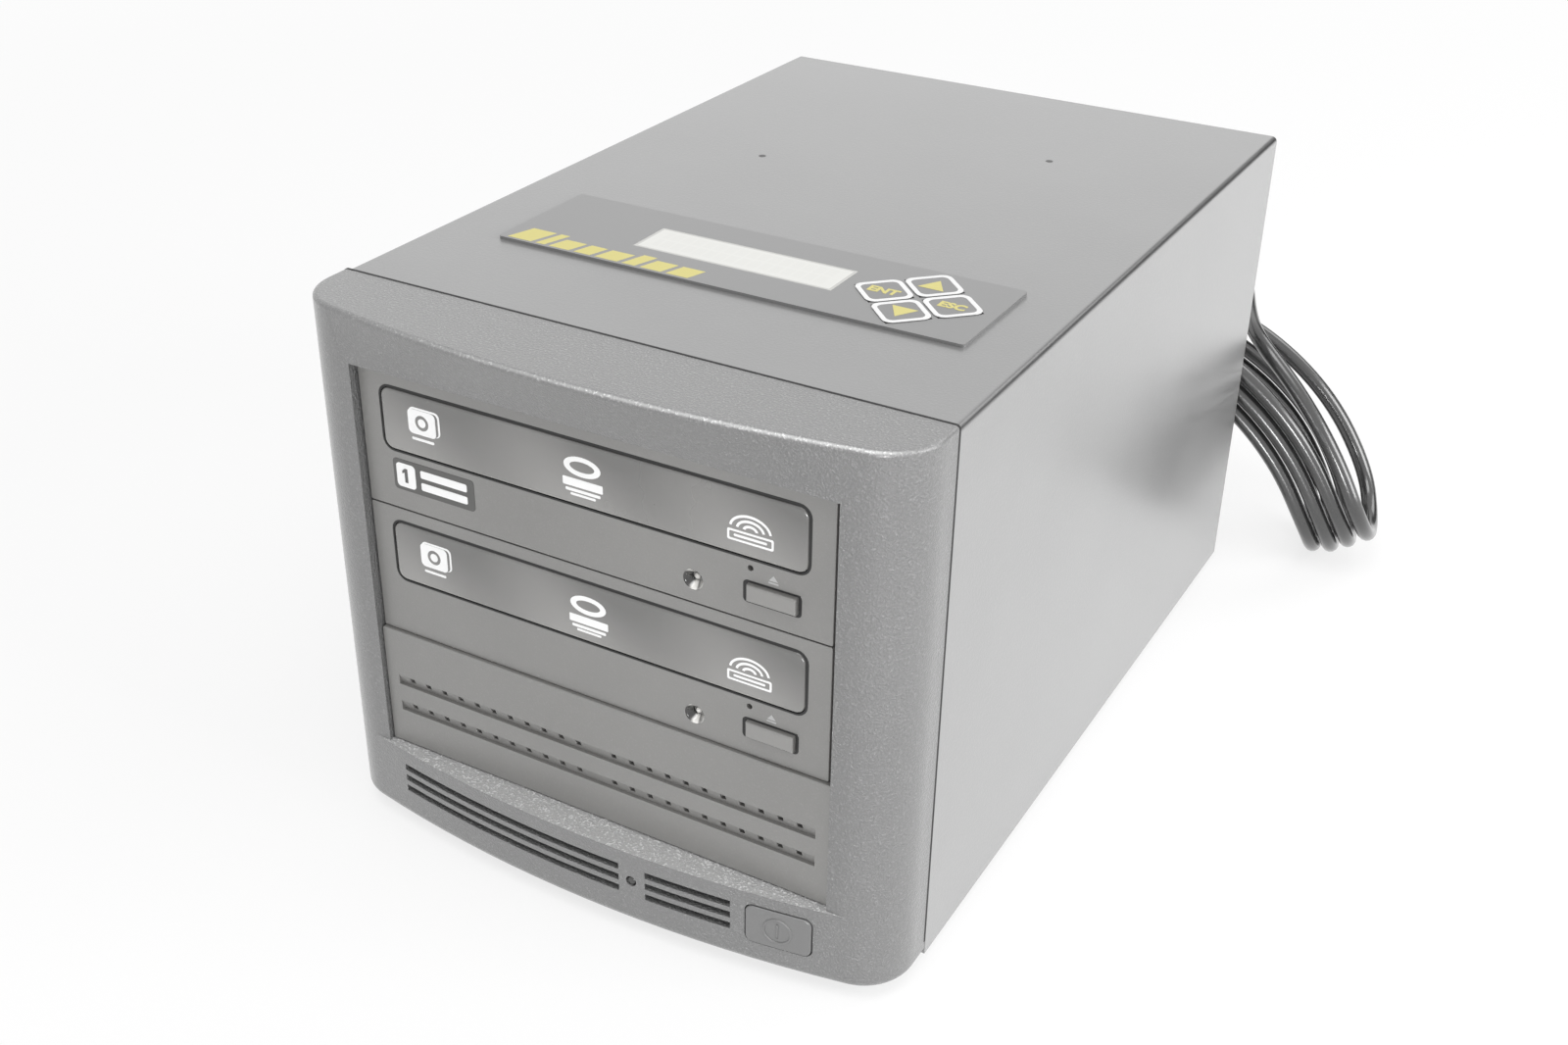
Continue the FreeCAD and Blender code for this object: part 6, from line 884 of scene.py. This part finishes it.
def lamp_reflector(number, middle, material):
    """A cone let into the light's well: its radius falls evenly with depth, and each point's tone, a painted
    reflection, is a sum of bell curves of its angle, so that bright painted glints stand between dark wedges."""
    turns, rings = CONE_TURNS, CONE_RINGS
    share = np.linspace(0, 1, rings)
    radius = CONE_MOUTH + (CONE_THROAT - CONE_MOUTH) * share
    depth = CONE_FRONT + (CONE_BACK - CONE_FRONT) * share
    a, r = np.meshgrid(np.arange(turns) * 2 * math.pi / turns, radius)
    d = np.repeat(depth[:, None], turns, 1)
    points = np.stack([middle[0] + r * np.cos(a), FACE + d, middle[1] + r * np.sin(a)], 2).reshape(-1, 3)
    under = points + (0, CONE_WALL, 0)
    grid = grid_faces(rings, turns, close_columns=True)
    count, last = turns * rings, (rings - 1) * turns
    j, k = np.arange(turns), (np.arange(turns) + 1) % turns
    mouth = np.stack([j, k, count + k, count + j], 1)
    throat = np.stack([last + k, last + j, count + last + j, count + last + k], 1)
    faces = np.vstack([grid, grid[:, ::-1] + count, mouth, throat]).tolist()
    piece = mesh_piece(f"lamp_{number}_reflector", np.vstack([points, under]) * MM, faces, material, "case",
                       "drive_face", smooth=True)
    a = np.concatenate([a.ravel(), a.ravel()])
    tone = sum(height * np.exp(-((a - spot + math.pi) % (2 * math.pi) - math.pi) ** 2 / (2 * width ** 2))
               for spot, width, height in WEDGES)
    layer = piece.data.attributes.new("tone", "FLOAT", "POINT")
    layer.data.foreach_set("value", np.clip(tone, 0, 1))


BEAD_TURNS, BEAD_RINGS = 24, 5
BEAD_RADIUS = 0.95
BEAD_BACK = 2.3
BEAD_RISE = 0.7


def lamp_bead(number, middle):
    """A low pale dome over the light's lens, pale as a painted glint: height falls with the square of the
    distance from its middle.
    """
    turns, rings = BEAD_TURNS, BEAD_RINGS
    a, s = np.meshgrid(np.arange(turns) * 2 * math.pi / turns, np.linspace(1, 0, rings + 1)[:-1])
    depth = FACE + BEAD_BACK - BEAD_RISE * (1 - s ** 2)
    reach = BEAD_RADIUS * s
    dome = np.stack([middle[0] + reach * np.cos(a), depth, middle[1] + reach * np.sin(a)], 2)
    points = np.vstack([dome.reshape(-1, 3), [(middle[0], FACE + BEAD_BACK - BEAD_RISE, middle[1])]])
    faces = grid_faces(rings, turns, close_columns=True).tolist()
    last, tip = (rings - 1) * turns, len(points) - 1
    faces += [(last + (n + 1) % turns, last + n, tip) for n in range(turns)]
    faces.append(tuple(range(turns)))
    mesh_piece(f"lamp_{number}_bead", points * MM, faces, bead_painted_glint, "case", "drive_face", smooth=True)


# Painted seam shadow, painted dimple shade, label and the button's symbol

SKIN = 0.08
SEAM_BEND = 1.3
SEAM_BEND_POINTS = 7
SEAM_FOOT = 9.0
SEAM_THICK = 0.12
SEAM_REACH = (0.95, 0.2)


def seam_painted_shadow():
    """A painted shadow for the gap between bezel and cover: a thin dark closed strip carried up one side,
    over and down the other. Its path is straight sides and quarter turns at the bends."""
    half, high = COVER_SIDE + SKIN, BEZEL_TOP + SKIN
    turn = np.linspace(0, math.pi / 2, SEAM_BEND_POINTS)
    bend = arc_outline(SEAM_BEND, (half - SEAM_BEND, high - SEAM_BEND), 1.0, turn)
    outer = np.vstack([[(half, SEAM_FOOT)], bend, bend[::-1] * (-1, 1), [(-half, SEAM_FOOT)]])
    inside = np.array([0, high / 2])
    inner = outer - np.sign(outer - inside) * SEAM_THICK
    front, back = (COVER_FRONT - reach for reach in SEAM_REACH)
    rows = [np.column_stack([edge[:, 0], np.full(len(edge), at), edge[:, 1]])
            for edge, at in ((outer, front), (outer, back), (inner, back), (inner, front))]
    count = len(outer)
    faces = grid_faces(4, count, close_rows=True)[:, ::-1].tolist()
    faces += [tuple(n * count for n in range(4))[::-1], tuple(n * count + count - 1 for n in range(4))]
    mesh_piece("seam_painted_shadow", np.vstack(rows) * MM, faces, painted_shadow_black, "case", "black_plastic")


DIMPLES = ((-45.5, 31.7), (37.7, 77.5))
DIMPLE_RADIUS = 1.2


# flat darker discs where the top is dimpled: painted shade of the dimples
def cover_dimples():
    for number, place in enumerate(DIMPLES, 1):
        points, faces = plate(ring_outline(DIMPLE_RADIUS, place), 0, THIN_FILM, on_top)
        mesh_piece(f"cover_dimple_{number}", points, faces, dimple_shade, "case", "cover_paint")


LABEL, LABEL_X, LABEL_DROP = (28.0, 9.6, 1.2), -51.5, 30.8
LABEL_TILE, LABEL_TILE_SHIFT = (6.6, 7.4, 1.2), (-9.6, 0)
LABEL_BAR, LABEL_BARS_SHIFT = (16.0, 2.4, 0.5), ((3.6, 1.9), (3.6, -1.9))
LABEL_LEVELS, LABEL_PRINT_LEVELS, NUMERAL_LEVELS = (0, 0.12), (0.1, 0.18), (0.17, 0.22)
NUMERAL = ((-0.5, -2.2), (0.6, -2.2), (0.6, 2.2), (-0.3, 2.2), (-1.3, 1.3), (-1.3, 0.5), (-0.5, 0.9))


def drive_label():
    """A dark label with a white tile and a plain numeral one, and two plain bars."""
    lay = on_front(FACE)
    centre = np.array([LABEL_X, DRIVE_TOPS[1] - LABEL_DROP])
    sheet = plate(rounded_outline(*LABEL, centre), *LABEL_LEVELS, lay)
    mesh_piece("drive_label", *sheet, label_vinyl, "case", "drive_face")
    outlines = [rounded_outline(*LABEL_TILE, centre + LABEL_TILE_SHIFT)]
    outlines += [rounded_outline(*LABEL_BAR, centre + shift) for shift in LABEL_BARS_SHIFT]
    parts = [plate(outline, *LABEL_PRINT_LEVELS, lay) for outline in outlines]
    mesh_piece("drive_label_print", *joined_parts(parts), white_print, "case", "drive_face")
    numeral = plate(np.array(NUMERAL) + centre + LABEL_TILE_SHIFT, *NUMERAL_LEVELS, lay)
    mesh_piece("drive_label_numeral", *numeral, label_vinyl, "case", "drive_face")


RIB_SIDES = 8
SYMBOL_RING = 4.0
SYMBOL_RIB = 0.35
SYMBOL_BAR = np.linspace(-2.5, 2.5, 6)
BULGE = 430.0
SYMBOL_SET = 0.5


def rib(path, closed):
    """A round section carried along a flat path, as points of x, z and level, with its faces."""
    following = np.roll(path, -1, 0) if closed else np.vstack([path[1:], path[-1:]])
    before = np.roll(path, 1, 0) if closed else np.vstack([path[:1], path[:-1]])
    along = following - before
    along /= np.linalg.norm(along, axis=1)[:, None]
    side = np.column_stack([along[:, 1], -along[:, 0]])
    angle = np.arange(RIB_SIDES) * 2 * math.pi / RIB_SIDES
    flat = path[:, None, :] + side[:, None, :] * (np.cos(angle) * SYMBOL_RIB)[None, :, None]
    level = np.broadcast_to(np.sin(angle) * SYMBOL_RIB, flat.shape[:2])
    points = np.concatenate([flat, level[:, :, None]], 2).reshape(-1, 3)
    faces = grid_faces(len(path), RIB_SIDES, close_rows=closed, close_columns=True).tolist()
    if not closed:
        faces += [list(range(RIB_SIDES)), list(range(len(points) - RIB_SIDES, len(points)))[::-1]]
    return points, faces


def power_symbol():
    """A raised ring and bar on the power button, whose face follows the bezel's bulge: a circle in plan."""
    middle = middle_of("power_button", 0, 2)
    bar = np.column_stack([np.full(len(SYMBOL_BAR), middle[0]), middle[1] + SYMBOL_BAR])
    points, faces = joined_parts([rib(ring_outline(SYMBOL_RING, middle, steps=40), True), rib(bar, False)])
    x = points[:, 0]
    front = CROWN + BULGE - np.sqrt((BULGE + SYMBOL_SET) ** 2 - x ** 2)
    laid = np.column_stack([x, front - points[:, 2], points[:, 1]]) * MM
    mesh_piece("power_symbol", laid, faces, button_plastic, "power_button", "button_silver", smooth=True)


key_frames()
key_arrows()
key_word("enter_key", "ENT")
key_word("escape_key", "ESC")
overlay_bars()
reflector = reflector_glints()
for number in DRIVE_TOPS:
    tray_marks(number)
    eject_mark(number)
    drive_painted_shadows(number)
    lamp_middle = middle_of(f"drive_{number}_lamp", 0, 2)
    lamp_reflector(number, lamp_middle, reflector)
    lamp_bead(number, lamp_middle)
seam_painted_shadow()
cover_dimples()
drive_label()
power_symbol()


# Pale studio: a white floor, a white surround and soft lamps

FLOOR_REACH = 6.0
LAMPS = (
    ("back_lamp", (0.75, 1.15, 1.2), 6.0, 0.9),
    ("key_lamp", (0.15, -0.5, 1.35), 7.0, 0.8),
    ("side_lamp", (1.4, 0.15, 0.6), 13.0, 0.8),
    ("front_lamp", (0.42, -0.85, 0.1), 2.6, 0.18),
)
LAMP_AIM = (0, 0, 0.08)
WHITE = (1, 1, 1, 1)
DARK_SIDE = (0.359, 0.879, 0.314)


def white_floor():
    """A matt floor that keeps the tower's shadow. What the camera or a reflection sees of it glows white by
    a share of three quarters, and fully far from the tower: the distance past a start, times a slope."""
    mesh = bpy.data.meshes.new("floor")
    square = [(x * FLOOR_REACH, y * FLOOR_REACH, 0) for x, y in ((-1, -1), (1, -1), (1, 1), (-1, 1))]
    mesh.from_pydata(square, [], [(0, 1, 2, 3)])
    floor = bpy.data.objects.new("floor", mesh)
    bpy.context.scene.collection.objects.link(floor)
    material = bpy.data.materials.new("floor_white")
    material.use_nodes = True
    tree = material.node_tree
    shader = tree.nodes["Principled BSDF"]
    shader.inputs["Base Color"].default_value = (0.95, 0.95, 0.95, 1)
    shader.inputs["Roughness"].default_value = 0.9
    shader.inputs["Specular IOR Level"].default_value = 0.1
    rays = add_node(tree, "LightPath")
    glow = add_node(tree, "Emission", {"Color": WHITE, "Strength": 1.0})
    seen = math_node(tree, "MAXIMUM", rays.outputs["Is Camera Ray"], rays.outputs["Is Glossy Ray"])
    place = add_node(tree, "TexCoord").outputs["Object"]
    out = add_node(tree, "VectorMath", {"Vector": place}, operation="LENGTH")
    far = ramp(tree, out.outputs["Value"], start=0.45, slope=0.9)
    mixed = add_node(tree, "MixShader", {"Fac": times(tree, seen, line(tree, far, slope=0.25, rise=0.75))})
    tree.links.new(shader.outputs[0], mixed.inputs[1])
    tree.links.new(glow.outputs[0], mixed.inputs[2])
    tree.links.new(mixed.outputs[0], tree.nodes["Material Output"].inputs["Surface"])
    mesh.materials.append(material)


def white_surround():
    """White to the camera, reflections and transmission, and about half as bright as a light. Reflections
    find it dark round one direction: how near they come to it, past a start, times a slope."""
    world = bpy.data.worlds.new("studio_white")
    bpy.context.scene.world = world
    world.use_nodes = True
    tree = world.node_tree
    tree.nodes.clear()
    rays = add_node(tree, "LightPath")
    shown = math_node(tree, "MAXIMUM", rays.outputs["Is Camera Ray"], rays.outputs["Is Glossy Ray"])
    shown = math_node(tree, "MAXIMUM", shown, rays.outputs["Is Transmission Ray"])
    way = add_node(tree, "TexCoord").outputs["Generated"]
    nearness = add_node(tree, "VectorMath", {0: way, 1: DARK_SIDE}, operation="DOT_PRODUCT")
    dark = ramp(tree, nearness.outputs["Value"], start=0.87, slope=12.0)
    dark = times(tree, dark, rays.outputs["Is Glossy Ray"])
    level = times(tree, line(tree, shown, slope=0.46, rise=0.54), math_node(tree, "SUBTRACT", 1.0, dark))
    surround = add_node(tree, "Background", {"Color": WHITE, "Strength": level})
    output = add_node(tree, "OutputWorld")
    tree.links.new(surround.outputs[0], output.inputs[0])


def turn_to(aim):
    """A turn that points a lamp's own -z along a direction."""
    back = -aim / np.linalg.norm(aim)
    right = np.cross((0, 0, 1.0), back)
    right /= np.linalg.norm(right)
    up = np.cross(back, right)
    return Matrix([[right[i], up[i], back[i]] for i in range(3)]).to_4x4()


def soft_lamps():
    for name, place, power, size in LAMPS:
        data = bpy.data.lights.new(name, "AREA")
        data.energy, data.size = power, size
        lamp = bpy.data.objects.new(name, data)
        bpy.context.scene.collection.objects.link(lamp)
        lamp.matrix_world = Matrix.Translation(place) @ turn_to(np.array(LAMP_AIM) - np.array(place))


white_floor()
white_surround()
soft_lamps()
bpy.context.scene.view_settings.view_transform = "Standard"
